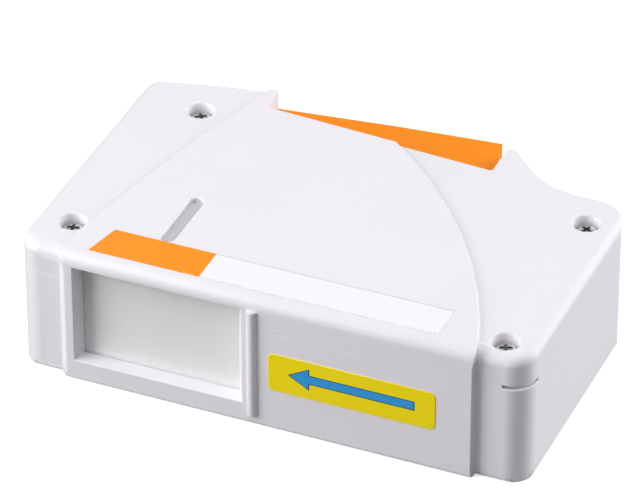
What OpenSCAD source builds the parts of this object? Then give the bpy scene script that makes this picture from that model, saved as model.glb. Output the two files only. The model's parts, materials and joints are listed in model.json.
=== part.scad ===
// Reel type fibre optic cleaning cassette. A push lever on the back opens the shutter over the
// wiping window through a gear sector and a swing arm, and winds the cleaning tape on by one tooth.
// Millimetres, +Z up. The origin is at the middle of the base, and the window faces -Y.

/* [Case] */
// Thickness of the case walls, floor and top
wall = 2; // [1.6:0.1:2.2]
// Height of the cover above the parting line
cover_h = 7; // [6:0.1:8]
// Radius of the upright corners at the front
corner_r = 5.3; // [4:0.1:6]
// Radius of the long soft edge along the top of the front
front_edge_r = 2.8; // [2:0.1:3]
// Radius of the top edges at the two ends
end_edge_r = 1.9; // [1:0.1:2.2]
// Height by which the top panel stands above the case top
panel_rise = 0.8; // [0.4:0.1:1]
// Distance by which the front panel stands before the corners
panel_proud = 1.7; // [1.2:0.1:2]
// Distance from the left end face to the lever's notch
recess_end = 28.5; // [27:0.1:30]
// Distance from the lever's notch to the right end face
shoulder_w = 32.6; // [31:0.1:34]

/* [Window] */
// Distance from the left end face to the window
window_end = 13.7; // [13.5:0.1:14]
// Width of the window at the front
window_w = 38.5; // [37:0.1:39]
// Height of the window's sill above the base
window_sill = 5; // [4.4:0.1:5.6]
// Height of the case above the window
window_lintel = 2.7; // [2.4:0.1:4]
// Radius of the upright bead beside the window
bead_r = 1.1; // [0.8:0.1:1.2]

/* [Lever] */
// Distance by which the lever's outermost corner stands out behind the case
lever_proud = 3.5; // [3:0.1:4]
// Radius of the lever's hub
hub_r = 4.2; // [3.8:0.1:4.3]
// Radius of the steel pin that the lever turns on
lever_pin_r = 1.5; // [1.2:0.1:1.6]
// Thickness of the lever's outer walls
lever_wall = 1.8; // [1.4:0.1:2]

/* [Tape reels] */
// Width of the cleaning tape
tape_w = 16.6; // [15:0.1:20]
// Thickness of the cleaning tape
tape_t = 0.2; // [0.1:0.05:0.25]
// Radius of the supply reel's flanges
supply_r = 20; // [19:0.1:21]
// Radius of the unused tape on the supply reel
supply_roll_r = 15; // [10:0.1:16]
// Radius of the used tape on the take-up reel
take_roll_r = 9; // [8:0.1:12]
// Radius of the ratchet wheel under the take-up reel
ratchet_r = 17.6; // [17:0.1:18.2]
// Depth of the ratchet teeth
ratchet_deep = 1.5; // [1.4:0.1:1.6]
// Radius of the reel spindles
spindle_r = 3; // [2.6:0.1:3.4]
// Radius of the reel hubs that the tape is wound on
reel_hub_r = 6.5; // [6:0.1:7]

/* [Room] */
// Distance from the front panel to the supply reel
reel_front = 16; // [15.5:0.1:17]
// Distance from the left end face to the supply reel
reel_side = 7.5; // [7:0.1:9]
// Distance between the two reels along the case
reel_space = 8.4; // [8:0.1:10]
// Distance from the take-up reel to the right end face
pawl_side = 23.9; // [23.5:0.1:26]
// Distance from the supply reel to the notch's inner edge
lever_room = 12.1; // [12:0.1:14]

/* [Fits] */
// Radial clearance of a shaft in its hole
fit = 0.05; // [0.02:0.01:0.08]
// Gap between pieces that move past each other
gap = 0.3; // [0.25:0.05:0.35]

/* [Hidden] */

// Degrees of one facet on a rounded outline, and facets of a full turn
arc_step = 6;
smooth = 96;
// Overrun of every cut, and the depth to which a fused piece goes into what carries it
over = 1;
root_in = 0.6;

// Levels above the base: low gears, deck, reels, ceiling. The tape's width sets the case's height
low_t = 2.2;
blade_t = 1;
low_room = 3.2;
deck_t = 1.4;
washer_t = 0.3;
shoulder_h = 0.2;
ratchet_t = 1.4;
flange_t = 1;
head_room = 2.8;
low_z = wall + gap;
deck_z = wall + low_room;
deck_top = deck_z + deck_t;
reel_z = deck_top + 2 * shoulder_h;
tape_z0 = reel_z + ratchet_t + shoulder_h;
tape_z1 = tape_z0 + tape_w;
reel_top = tape_z1 + shoulder_h + flange_t;
ceil_z = reel_top + head_room;
body_h = ceil_z + wall;
seam_h = body_h - cover_h;
panel_top = body_h + panel_rise;

// Plan of the case, from the left end face and the front panel. The reels set its length and depth
rim_setback = 7.3;
rim_slant = 3.4;
hump_setback = 1.3;
hump_top_w = 2;
right_setback = 12.5;
left_setback = 6.4;
bow_end = 14.5;
bow_setback = 2.45;
foot_r = 18;
hump_r = 2.5;
right_back_r = 8;
left_back_r = 4;
bow_r = 60;
small_r = 0.6;
base_edge_r = 0.8;
body_w = reel_side + 2 * supply_r + reel_space + 2 * ratchet_r + pawl_side;
left_x = -body_w / 2;
right_x = body_w / 2;
rim_d0 = reel_front + 2 * supply_r + lever_room;
rim_d1 = rim_d0 - rim_slant;
body_d = rim_d0 + rim_setback;
recess_x0 = left_x + recess_end;
recess_x1 = right_x - shoulder_w;
recess_w = recess_x1 - recess_x0;
hump_d = body_d - hump_setback;
hump_x = recess_x1 + hump_top_w;
right_d = body_d - right_setback;
foot_x = hump_x + hump_d - right_d;
left_d = body_d - left_setback;
bow_x = left_x + bow_end;
bow_d = body_d - bow_setback;
front_in = panel_proud + wall;
far_d = 2 * body_d;

// Lap joint between the case halves
lip_t = 0.9;
lip_h = 1.2;
lip_gap = 0.1;

// Raised panel, which runs up the front and over the top as far as two long arcs
panel_end_left = 11.8;
panel_end_right = 11.6;
panel_ramp_left = 1.7;
panel_ramp_right = 0.3;
panel_rim_w = 28.9;
panel_right_r = 134;
panel_left_r = 500;
panel_x0 = left_x + panel_end_left;
panel_x1 = right_x - panel_end_right;
panel_rim_x = recess_x0 + panel_rim_w;

// Screws of the case, from the nearer end face, and from the front panel or the back
screw_bl = [15.5, 13.2];
screw_fl = [8.3, 12.4];
screw_br = [6.9, 9.2];
screw_fr = [7.1, 7.1];
screw_places = [
    [left_x + screw_bl[0], body_d - screw_bl[1]], [left_x + screw_fl[0], screw_fl[1]],
    [right_x - screw_br[0], right_d - screw_br[1]], [right_x - screw_fr[0], screw_fr[1]],
];
boss_r = 3;
shank_r = 1.15;
head_r = 2.35;
head_h = 1.5;
head_deep = 1.5;
sink_r = 2.65;
dish_r = 3.15;
shank_l = 18;
shank_room = 0.2;
drive_w = 0.7;
drive_l = 2.8;
drive_deep = 0.9;

// Window, its tapered jambs and the bead beside it
jamb_left = 0.7;
jamb_right = 2.1;
bead_side = 2.4;
bead_z0 = 2.4;
window_x0 = left_x + window_end;
window_x1 = window_x0 + window_w;
window_top = body_h - window_lintel;
window_h = window_top - window_sill;
bead_x = window_x1 + bead_side;
bead_z1 = window_top + gap;

// Sight slot over the supply reel with its insert, and the pry slit at the front right corner
slot_end = 29.7;
slot_d0 = 12.1;
slot_l = 17.5;
slot_w = 3.2;
slot_x = left_x + slot_end;
sight_deep = 0.9;
sight_flange = 1.2;
sight_flange_t = 0.7;
slit_h = 0.95;
slit_deep = 1.2;
slit_w = 5.8;

// Shutter, which slides behind the front wall
shutter_t = 1.2;
shutter_back = 0.2;
shutter_lap = 0.8;
shutter_short = 0.4;
shutter_rest = 0.3;
rail_t = 1;
rail_h = 1.2;
rail_end = 7.5;
shutter_d = front_in + shutter_back;
shutter_x0 = window_x0 - shutter_lap;
shutter_x1 = window_x1 - shutter_short;
shutter_top = ceil_z - gap;
shutter_travel = window_w - shutter_rest;
rail_d = shutter_d + shutter_t + gap;

// The arm swings evenly to both sides of its post, so its length follows from the travel
swing = 60;
arm_near = 8.8;
arm_pin_r = 1;
arm_post_r = 1.8;
arm_bar_w = 3.6;
arm_end_r = 1.9;
arm_play = 0.45;
tab_x = 22.5;
tab_w = 7.2;
tab_t = 1.1;
tab_lift = 0.4;
tab_slot_room = 0.35;
tab_end = 1.3;
arm_r = shutter_travel / 2 / sin(swing / 2);
arm_post = [shutter_x0 + tab_x + shutter_travel / 2, arm_r + arm_near];
arm_pin = arm_post + arm_r * [-sin(swing / 2), -cos(swing / 2)];
tab_z = low_z + blade_t + tab_lift;

// Lever: its hub, its gear sector, which meshes with the arm's pinion, and its outline
hub_in = 4;
hub_back = 4.6;
lever_gap = 0.5;
lever_side = 0.6;
lever_skirt = 0.4;
lever_left_in = 2.5;
lever_tuck = 3.8;
lever_bow = 0.5;
lever_flare = 2.6;
lever_edge_r = 1.2;
lever_plate_t = 2;
pinion_teeth = 12;
sector_teeth = 60;
pressure = 25;
backlash = 0.15;
gear_root_share = 1.25;
waist_r = 2.9;
waist_drop = 9.2;
waist_z0 = 10;
rib_t = 1.4;
rib_shares = [0.36, 0.6, 0.84];
lever_d = body_d + lever_proud;
lever_hub = [recess_x0 + hub_in, rim_d0 - hub_back];
lever_end_r = recess_x1 - lever_gap - lever_hub[0];
lever_left = recess_x0 + lever_side;
lever_left_d = body_d - lever_left_in;
lever_in_d = rim_d1 - lever_tuck;
lever_top = ceil_z - gap;
waist_z1 = ceil_z - waist_drop;
gear_reach = norm(arm_post - lever_hub);
gear_dir = atan2(arm_post[1] - lever_hub[1], arm_post[0] - lever_hub[0]);
gear_m = 2 * gear_reach / (pinion_teeth + sector_teeth);

// Torsion spring round the waist of the lever's hub
spring_wire_r = 0.4;
spring_coil_r = 3.7;
spring_turns = 4.5;
spring_pitch = 1.1;
spring_z = 12;
spring_leg = 12;
spring_rings = 14;
spring_sides = 6;
spring_post_r = 1.2;
spring_post_out = 11;
spring_peg_r = 0.9;
spring_peg_out = 10;
spring_line = spring_coil_r - spring_wire_r - fit;
spring_post = [lever_hub[0] - spring_post_out, lever_hub[1] - spring_line + spring_post_r];
spring_peg_d = spring_coil_r + spring_wire_r + fit + spring_peg_r;
spring_peg = [lever_hub[0] + spring_peg_out, lever_hub[1] + spring_peg_d];

// Reels and the ratchet
take_front = 13.9;
ratchet_teeth = 24;
ratchet_phase = 0.5;
steep_share = 0.04;
seat_rim = 1.2;
clip_t = 0.8;
clip_r = 4.4;
clip_pin_r = 1.6;
clip_over = 0.6;
washer_rim = 3;
window_hole_r = 2.6;
window_holes = 5;
supply = [left_x + reel_side + supply_r, reel_front + supply_r];
take_up = [right_x - pawl_side - ratchet_r, take_front + ratchet_r];

// Pawls: the nose of each lies in a tooth gap, and its bar runs outside the teeth
nose_in = 0.9;
nose_deep = 0.25;
nose_l = 1.6;
nose_slant = 0.55;
drive_nose_dir = 165;
drive_lean = 2.97;
drive_back = 3.5;
stop_nose_dir = 30;
stop_side = 3.6;
stop_down = 3.7;
pawl_hub_r = 2.2;
pawl_pin_r = 1.1;
pawl_bar_w = 2;
pawl_bar_shares = [0.65, 0.6, 0.3];
pawl_t = ratchet_t;
pawl_seat_r = 2.6;
pawl_post_r = 2.1;
pawl_pin_over = 0.4;
drive_nose = take_up + (ratchet_r - nose_in) * [cos(drive_nose_dir), sin(drive_nose_dir)];
stop_nose = take_up + (ratchet_r - nose_in - nose_deep) * [cos(stop_nose_dir), sin(stop_nose_dir)];
drive_pivot = [drive_nose[0] - drive_lean, lever_hub[1] - drive_back];
stop_pivot = take_up + [ratchet_r + stop_side, -stop_down];

// Tape path over two guide rollers and the pad
roller_r = 1.6;
guide_pin_r = 0.8;
roller_in_left = 0.4;
roller_in_right = 1.2;
roller_back = 3.55;
tape_air = 0.25;
pad_air = 0.1;
pad_t = 2.8;
pad_edge_r = 1;
pad_over = 0.4;
pad_end_left = 2.6;
pad_end_right = 4;
holder_t = 2;
bracket_t = 1.1;
bracket_side = 1.8;
peg_r = 1;
peg_in = 4;
roller_left = [window_x0 + roller_in_left, shutter_d + roller_back];
roller_right = [window_x1 - roller_in_right, shutter_d + roller_back];
pad_d = roller_left[1] - roller_r - tape_air + pad_air;
holder_top = ceil_z - rail_h - gap;

// Mechanism deck and its four posts
deck_side = 11.9;
deck_clear = 0.65;
deck_boss_gap = 0.6;
deck_reach = 17.5;
deck_step = 5;
deck_step_x0 = 2.3;
deck_step_x1 = 6;
deck_rim = 1.2;
deck_back_x0 = 11;
deck_back_x1 = 5;
deck_corner_r = 2;
post_r = 2.3;
post_in = 3.1;
post_front = 10.9;
post_back_left = 2.7;
post_back_right = 5;
post_right = 18;
deck_screw_r = 0.9;
deck_head_r = 1.9;
deck_head_h = 1;
deck_screw_l = 4;
deck_screw_room = 0.15;
deck_drive_w = 0.56;
deck_drive_l = 2.28;
deck_left = left_x + deck_side;
deck_front = shutter_d + shutter_t + deck_clear;
deck_left_d = body_d - screw_bl[1] - boss_r - deck_boss_gap;
deck_d = take_up[1] + deck_reach;
deck_right = stop_pivot[0] + pawl_seat_r + deck_rim;
post_places = [
    [deck_left + post_in, deck_front + post_front], [deck_left + post_in, deck_left_d - post_back_left],
    [take_up[0] + post_right, deck_front + post_front], [take_up[0] + post_right, deck_d - post_back_right],
];

// Labels, bare of any print
label_t = 0.15;
label_side = 6.1;
label_drop = 4.9;
label_w = 37.2;
label_h = 9.2;
label_r = 1.25;
type_side = 16.4;
type_w = 25.2;
type_slant = 2;
type_d0 = 2.9;
type_h = 8.9;
strip_w = 53.1;
label_x0 = window_x1 + label_side;
label_z = seam_h - label_drop - label_h;
type_x0 = left_x + type_side;

// The whole part is moved so that the origin is at the middle of its base
mid_d = (lever_d - bead_r) / 2;

// Directions and rounded outlines
function unit(p) = p / norm(p);
function flat(p) = [p[0], p[1]];
function polar(r, a) = [r * cos(a), r * sin(a)];
function left_of(u) = [-u[1], u[0]];
function right_of(u) = [u[1], -u[0]];
function side_in(v, i) = unit(flat(v[i]) - flat(v[(i + len(v) - 1) % len(v)]));
function side_out(v, i) = unit(flat(v[(i + 1) % len(v)]) - flat(v[i]));
function turn_at(v, i) =
    let (a = side_in(v, i), b = side_out(v, i))
    a[0] * b[1] - a[1] * b[0];

// Corner i of an outline, moved inwards by d
function moved_corner(v, i, d) =
    let (a = side_in(v, i), b = side_out(v, i))
    let (p = flat(v[i]) + d * (left_of(a) + left_of(b)) / (1 + a * b))
    [p[0], p[1], turn_at(v, i) > 0 ? max(v[i][2] - d, 0) : v[i][2] + d];

// Points of corner i, rounded by the radius that it carries
function round_corner(v, i) =
    let (a = side_in(v, i), b = side_out(v, i), r = v[i][2])
    let (angle = acos(a * b), way = turn_at(v, i) > 0 ? 1 : -1)
    let (start = flat(v[i]) - a * r * tan(angle / 2), out = -way * left_of(a))
    let (centre = start - r * out, first = atan2(out[1], out[0]), n = ceil(angle / arc_step))
    r == 0 ? [flat(v[i])] : [for (k = [0:n]) centre + polar(r, first + way * angle * k / n)];

// Closed outline from corners [x, y, radius], run anticlockwise and moved inwards by d
function outline(corners, d = 0) =
    let (v = [for (i = [0:len(corners) - 1]) moved_corner(corners, i, d)])
    [for (i = [0:len(v) - 1]) each round_corner(v, i)];

// Points of the arc of radius r from p to q, bulging to the right of that way
function bulge(p, q, r) =
    let (half = norm(q - p) / 2, u = unit(q - p), rise = sqrt(r * r - half * half))
    let (c = (p + q) / 2 + rise * left_of(u), a = asin(half / r), mid = atan2(-u[0], u[1]))
    let (n = ceil(2 * a / arc_step) + 2)
    [for (k = [0:n]) c + polar(r, mid + a * (2 * k / n - 1))];

// Corners of the case in plan. The cavity joins the hump's two top corners into one
function case_corners(front) = [
    [left_x, front, corner_r], [right_x, front, corner_r], [right_x, right_d, right_back_r],
    [foot_x, right_d, foot_r], [hump_x, hump_d, hump_r], [recess_x1, hump_d, small_r],
    [recess_x1, rim_d1, small_r], [recess_x0, rim_d0, small_r], [recess_x0, body_d, small_r],
    [bow_x, bow_d, bow_r], [left_x, left_d, left_back_r],
];
function cavity_corners() = [
    [left_x, panel_proud, corner_r], [right_x, panel_proud, corner_r], [right_x, right_d, right_back_r],
    [foot_x, right_d, foot_r], [recess_x1, hump_d + hump_top_w, 0],
    [recess_x1, rim_d1, small_r], [recess_x0, rim_d0, small_r], [recess_x0, body_d, small_r],
    [bow_x, bow_d, bow_r], [left_x, left_d, left_back_r],
];

// Prism of the case plan, softened along the front's top and bottom edges and at the two ends
module block(front, top) {
    intersection() {
        linear_extrude(top) polygon(outline(case_corners(front)));
        translate([left_x, 0, 0]) rotate([90, 0, 90]) linear_extrude(body_w)
            polygon(outline([[front, 0, base_edge_r], [far_d, 0, 0], [far_d, top, 0],
                             [front, top, front_edge_r]]));
        translate([0, far_d, 0]) rotate([90, 0, 0]) linear_extrude(far_d)
            polygon(outline([[left_x, 0, base_edge_r], [right_x, 0, base_edge_r],
                             [right_x, top, end_edge_r], [left_x, top, end_edge_r]]));
    }
}

// Region of the raised panel in plan
module panel_plan() {
    right_foot = [panel_x1 + panel_ramp_right, panel_proud];
    left_foot = [panel_x0 - panel_ramp_left, panel_proud];
    polygon(concat(
        [left_foot, [panel_x0, 0], [panel_x0, -over], [panel_x1, -over], [panel_x1, 0]],
        bulge(right_foot, [panel_rim_x, rim_d0], panel_right_r),
        [[panel_rim_x, far_d]],
        [[recess_x0 - wall, far_d]],
        bulge([recess_x0 - wall, body_d], left_foot, panel_left_r)
    ));
}

module bead() {
    translate([bead_x, 0, bead_z0]) cylinder(bead_z1 - bead_z0, r = bead_r, $fn = smooth);
}

// Outer form of the closed case, before it is hollowed and parted
module case_form() {
    block(panel_proud, body_h);
    intersection() {
        block(0, panel_top);
        linear_extrude(panel_top) panel_plan();
    }
    bead();
}

module window_cut() {
    translate([0, 0, window_sill]) linear_extrude(window_h) polygon([
        [window_x0, -bead_r], [window_x1, -bead_r], [window_x1, 0],
        [window_x1 - jamb_right, front_in], [window_x1 - jamb_right, front_in + over],
        [window_x0 + jamb_left, front_in + over], [window_x0 + jamb_left, front_in], [window_x0, 0],
    ]);
}

// Way through the back wall for the lever
module lever_way() {
    translate([0, 0, wall]) linear_extrude(ceil_z - wall) polygon([
        [recess_x0, rim_d0 - wall - over], [recess_x1, rim_d1 - wall - over],
        [recess_x1, body_d + over], [recess_x0, body_d + over],
    ]);
}

module cavity() {
    translate([0, 0, wall]) linear_extrude(ceil_z - wall) polygon(outline(cavity_corners(), wall));
}

module slab(z0, z1) {
    translate([left_x - over, -far_d, z0]) cube([body_w + 2 * over, 2 * far_d, z1 - z0]);
}

// Ring along the inside of the walls, as far as t into them
module lap(t, h) {
    translate([0, 0, seam_h]) linear_extrude(h) difference() {
        polygon(outline(cavity_corners(), wall - t));
        polygon(outline(cavity_corners(), wall));
    }
}

module at(places) {
    for (p = places) translate([p[0], p[1], 0]) children();
}

module rod(r, z0, z1) {
    translate([0, 0, z0]) cylinder(z1 - z0, r = r, $fn = smooth);
}

module pry_slit() {
    translate([0, 0, seam_h - slit_h]) linear_extrude(slit_h + over) difference() {
        translate([right_x - slit_w, 0]) square([slit_w + over, panel_proud + slit_w]);
        polygon(outline(case_corners(panel_proud), slit_deep));
    }
}

module placed() {
    translate([0, -mid_d, 0]) children();
}

module bottom_case() {
    color("white") placed() difference() {
        union() {
            difference() {
                intersection() {
                    case_form();
                    slab(0, seam_h);
                }
                cavity();
            }
            lap(lip_t, lip_h);
            at(screw_places) rod(boss_r, wall - root_in, seam_h);
            at(post_places) rod(post_r, wall - root_in, deck_z);
            at([arm_post]) rod(arm_post_r, wall - root_in, low_z + low_t + gap);
            at([spring_post]) rod(spring_post_r, wall - root_in, spring_z + spring_turns * spring_pitch);
            translate([shutter_x0, rail_d, wall - root_in])
                cube([right_x - rail_end - shutter_x0, rail_t, rail_h + root_in]);
        }
        window_cut();
        lever_way();
        pry_slit();
        at(screw_places) rod(shank_r + fit, body_h - head_deep - head_h - shank_l - over, seam_h + over);
        at(post_places) rod(deck_screw_r + fit, deck_top - deck_screw_l - root_in, deck_z + over);
        at([lever_hub]) rod(lever_pin_r, wall - lip_h, wall + over);
    }
}

module top_cover() {
    color("white") placed() difference() {
        union() {
            difference() {
                intersection() {
                    case_form();
                    slab(seam_h, panel_top);
                }
                cavity();
                lap(lip_t + lip_gap, lip_h + lip_gap);
            }
            at(screw_places) rod(boss_r, seam_h, ceil_z + root_in);
            translate([shutter_x0, rail_d, ceil_z - rail_h])
                cube([right_x - rail_end - shutter_x0, rail_t, rail_h + root_in]);
        }
        window_cut();
        lever_way();
        sight_slot();
        at(screw_places) rod(shank_r + shank_room, seam_h - over, body_h);
        at(screw_places) {
            rod(sink_r, body_h - head_deep - head_h, panel_top + over);
            translate([0, 0, body_h - head_deep]) cylinder(head_deep, r1 = sink_r, r2 = dish_r, $fn = smooth);
        }
        at([lever_hub]) rod(lever_pin_r, ceil_z - over, ceil_z + lip_h);
    }
}

// Slot plan, made wider all round by grow
module slot_plan(grow) {
    r = slot_w / 2 + grow;
    translate([slot_x, slot_d0 + slot_w / 2]) {
        translate([-r, 0]) square([2 * r, slot_l - slot_w]);
        circle(r, $fn = smooth);
        translate([0, slot_l - slot_w]) circle(r, $fn = smooth);
    }
}

module sight_slot() {
    translate([0, 0, ceil_z - over]) linear_extrude(wall + panel_rise + 2 * over) slot_plan(0);
}

// Frosted insert in the sight slot, held by its flange under the cover
module sight_window() {
    color("gainsboro") placed() {
        translate([0, 0, ceil_z - sight_flange_t]) linear_extrude(sight_flange_t) slot_plan(sight_flange);
        translate([0, 0, ceil_z - sight_flange_t])
            linear_extrude(panel_top - sight_deep - ceil_z + sight_flange_t) slot_plan(-fit);
    }
}

module case_screws() {
    head_z = body_h - head_deep - head_h;
    color("silver") placed() at(screw_places) difference() {
        union() {
            rod(head_r, head_z, head_z + head_h);
            rod(shank_r, head_z - shank_l, head_z);
        }
        for (a = [0, 90]) rotate([0, 0, a])
            translate([-drive_l / 2, -drive_w / 2, head_z + head_h - drive_deep])
                cube([drive_l, drive_w, drive_deep + over]);
    }
}

module deck_plan() {
    polygon(outline([
        [deck_left, deck_front, deck_corner_r], [roller_right[0] + deck_step_x0, deck_front, deck_corner_r],
        [roller_right[0] + deck_step_x1, deck_front + deck_step, deck_corner_r],
        [deck_right, deck_front + deck_step, deck_corner_r], [deck_right, deck_d, deck_corner_r],
        [lever_hub[0] - deck_back_x1, deck_d, deck_corner_r],
        [lever_hub[0] - deck_back_x0, deck_left_d, deck_corner_r],
        [deck_left, deck_left_d, deck_corner_r],
    ]));
}

module mechanism_deck() {
    color("gainsboro") placed() difference() {
        union() {
            translate([0, 0, deck_z]) linear_extrude(deck_t) deck_plan();
            at([supply, take_up]) {
                rod(spindle_r + seat_rim, deck_z, deck_top + shoulder_h);
                rod(spindle_r, deck_z, reel_top + shoulder_h);
                rod(clip_pin_r, deck_z, reel_top + shoulder_h + clip_t + clip_over);
            }
            at([stop_pivot]) {
                rod(pawl_seat_r, deck_z, deck_top + shoulder_h);
                rod(pawl_pin_r, deck_z, reel_z + pawl_t + pawl_pin_over);
            }
        }
        at(post_places) rod(deck_screw_r + deck_screw_room, deck_z - over, deck_top + over);
        at([roller_left, roller_right]) rod(guide_pin_r + fit, deck_z + gap, deck_top + over);
        at(peg_places()) rod(peg_r + fit, deck_z + gap, deck_top + over);
    }
}

function peg_places() = [
    [window_x0 + pad_end_left + peg_in, pad_d + pad_t + holder_t / 2],
    [window_x1 - pad_end_right - peg_in, pad_d + pad_t + holder_t / 2],
];

module deck_screws() {
    color("silver") placed() at(post_places) difference() {
        union() {
            rod(deck_head_r, deck_top, deck_top + deck_head_h);
            rod(deck_screw_r, deck_top - deck_screw_l, deck_top);
        }
        for (a = [0, 90]) rotate([0, 0, a])
            translate([-deck_drive_l / 2, -deck_drive_w / 2, deck_top + deck_head_h / 2])
                cube([deck_drive_l, deck_drive_w, deck_head_h]);
    }
}

module shutter() {
    room = arm_pin_r + tab_slot_room;
    slot_far = arm_pin[1] + room;
    slot_near = arm_post[1] - arm_r - room;
    color("lightgray") placed() {
        translate([shutter_x0, shutter_d, low_z])
            cube([shutter_x1 - shutter_x0, shutter_t, shutter_top - low_z]);
        translate([arm_pin[0], 0, tab_z]) linear_extrude(tab_t) difference() {
            translate([-tab_w / 2, shutter_d + shutter_t / 2])
                square([tab_w, slot_far + tab_end - shutter_d - shutter_t / 2]);
            translate([-arm_pin_r - arm_play, slot_near])
                square([2 * (arm_pin_r + arm_play), slot_far - slot_near]);
        }
    }
}

// Involute teeth. The tooth's flank at radius r lies this many degrees from its middle
function inv_deg(a) = tan(a) * 180 / PI - a;
function flank(n, r) =
    let (rp = gear_m * n / 2, rb = rp * cos(pressure))
    90 / n - backlash / rp * 90 / PI + inv_deg(pressure) - inv_deg(acos(min(rb / r, 1)));
function tooth_radii(n) =
    let (rp = gear_m * n / 2, rb = rp * cos(pressure), root = rp - gear_root_share * gear_m)
    let (first = max(rb, root), last = rp + gear_m)
    [for (k = [0:4]) first + (last - first) * k / 4];
function tooth(n, a) =
    let (radii = tooth_radii(n), root = gear_m * n / 2 - gear_root_share * gear_m)
    concat(
        [polar(root, a - flank(n, radii[0]))],
        [for (r = radii) polar(r, a - flank(n, r))],
        [for (k = [4:-1:0]) polar(radii[k], a + flank(n, radii[k]))],
        [polar(root, a + flank(n, radii[0]))]
    );

module shutter_arm() {
    bar_end = arm_pin - arm_post;
    color("dimgray") placed() translate([arm_post[0], arm_post[1], 0]) difference() {
        union() {
            translate([0, 0, low_z]) linear_extrude(low_t)
                polygon([for (k = [0:pinion_teeth - 1])
                    each tooth(pinion_teeth, gear_dir + 180 + (k + 0.5) * 360 / pinion_teeth)]);
            translate([0, 0, low_z]) linear_extrude(blade_t) {
                rotate([0, 0, -swing / 2]) translate([-arm_bar_w / 2, -arm_r]) square([arm_bar_w, arm_r]);
                translate(bar_end) circle(arm_end_r, $fn = smooth);
            }
            translate(bar_end) rod(arm_pin_r, low_z, tab_z + tab_t + shoulder_h);
        }
        rod(arm_post_r + fit, wall, deck_z);
    }
}

// Lever in plan, moved inwards by d. Its inner edge lies inner further into the case
module lever_plan(d = 0, inner = 0) {
    slope = (lever_d - lever_left_d) / (recess_x1 - lever_left);
    mid_x = (recess_x1 + lever_left) / 2;
    intersection() {
        polygon(outline([
            [lever_left - lever_skirt, lever_hub[1] - inner, 0],
            [lever_hub[0], lever_in_d - lever_skirt - inner, 0],
            [recess_x1 + over, lever_in_d - inner, 0],
            [recess_x1 + over, lever_d + lever_flare * slope, 0],
            [mid_x, (lever_d + lever_left_d) / 2 + lever_bow, bow_r],
            [lever_left, lever_left_d, lever_edge_r],
        ], d));
        translate(lever_hub) circle(lever_end_r - d, $fn = smooth);
        translate([left_x, -over]) square([body_w, lever_d + over - d]);
    }
}

module sector() {
    step = 360 / sector_teeth;
    root = gear_m * (sector_teeth / 2 - gear_root_share);
    translate([lever_hub[0], lever_hub[1], low_z]) linear_extrude(low_t) {
        for (k = [-1:3]) polygon(concat([[0, 0]], tooth(sector_teeth, gear_dir + k * step)));
        polygon(concat([[0, 0]], [for (k = [-3:8]) polar(root, gear_dir + k * step / 2)]));
    }
}

module lever() {
    color("darkorange") placed() difference() {
        union() {
            difference() {
                translate([0, 0, low_z]) linear_extrude(lever_top - low_z) lever_plan();
                translate([0, 0, low_z + low_t])
                    linear_extrude(lever_top - low_z - low_t - lever_plate_t)
                        lever_plan(lever_wall, lever_room);
                at([lever_hub]) rod(spring_coil_r + spring_wire_r + gap, waist_z0, waist_z1);
            }
            intersection() {
                translate([0, 0, low_z]) linear_extrude(lever_top - low_z) lever_plan();
                for (s = rib_shares)
                    translate([recess_x0 + recess_w * s, 0, 0]) cube([rib_t, far_d, lever_top]);
            }
            sector();
            at([lever_hub]) {
                rod(hub_r, low_z, waist_z0);
                rod(waist_r, low_z, lever_top);
                rod(hub_r, waist_z1, lever_top);
            }
            at([spring_peg]) rod(spring_peg_r, low_z, waist_z1);
            at([drive_pivot]) {
                rod(pawl_seat_r, low_z, low_z + low_t);
                rod(pawl_post_r, low_z, reel_z - shoulder_h);
                rod(pawl_pin_r, low_z, reel_z + pawl_t + pawl_pin_over);
            }
        }
        at([lever_hub]) rod(lever_pin_r + fit, 0, ceil_z);
    }
}

module lever_pin() {
    color("silver") placed() at([lever_hub]) rod(lever_pin_r, wall - lip_h, ceil_z + lip_h);
}

// Torsion spring: a leg to the case's post, the coil, and a leg to the lever's outer wall
module lever_spring() {
    climb = spring_turns * spring_pitch;
    steps = spring_turns * spring_rings;
    coil = [for (k = [0:steps]) let (a = -90 - 360 * k / spring_rings)
        [spring_coil_r * cos(a), spring_coil_r * sin(a), climb * k / steps]];
    path = concat([[-spring_leg, -spring_coil_r, 0]], coil,
                  [[spring_leg, spring_coil_r, climb]]);
    last = len(path) - 1;
    function along(i) = unit(path[min(i + 1, last)] - path[max(i - 1, 0)]);
    function ring(i) =
        let (t = along(i), u = unit(cross([0, 0, 1], t)), v = cross(t, u))
        [for (k = [0:spring_sides - 1])
            path[i] + spring_wire_r * (cos(360 * k / spring_sides) * u + sin(360 * k / spring_sides) * v)];
    n = spring_sides;
    color("silver") placed() translate([lever_hub[0], lever_hub[1], spring_z]) polyhedron(
        [for (i = [0:last]) each ring(i)],
        concat(
            [[for (k = [0:n - 1]) k]],
            [for (i = [0:last - 1]) for (k = [0:n - 1]) each [
                [i * n + k, (i + 1) * n + k, (i + 1) * n + (k + 1) % n],
                [i * n + k, (i + 1) * n + (k + 1) % n, i * n + (k + 1) % n],
            ]],
            [[for (k = [n - 1:-1:0]) last * n + k]]
        )
    );
}

// Pawl from its pivot to its nose. The bar keeps outside the line between them
module pawl(pivot, nose) {
    reach = norm(nose - pivot);
    way = unit(nose - pivot);
    translate([pivot[0], pivot[1], reel_z]) rotate([0, 0, atan2(way[1], way[0])])
        linear_extrude(pawl_t) difference() {
            union() {
                circle(pawl_hub_r, $fn = smooth);
                polygon([
                    [0, -nose_in - pawl_bar_w * pawl_bar_shares[0]],
                    [reach - nose_l, -nose_in - pawl_bar_w * pawl_bar_shares[1]],
                    [reach - nose_slant, -nose_in - pawl_bar_w * pawl_bar_shares[2]], [reach, 0],
                    [reach - nose_l, -nose_in], [0, -nose_in / 4],
                ]);
            }
            circle(pawl_pin_r + fit, $fn = smooth);
        }
}

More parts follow.
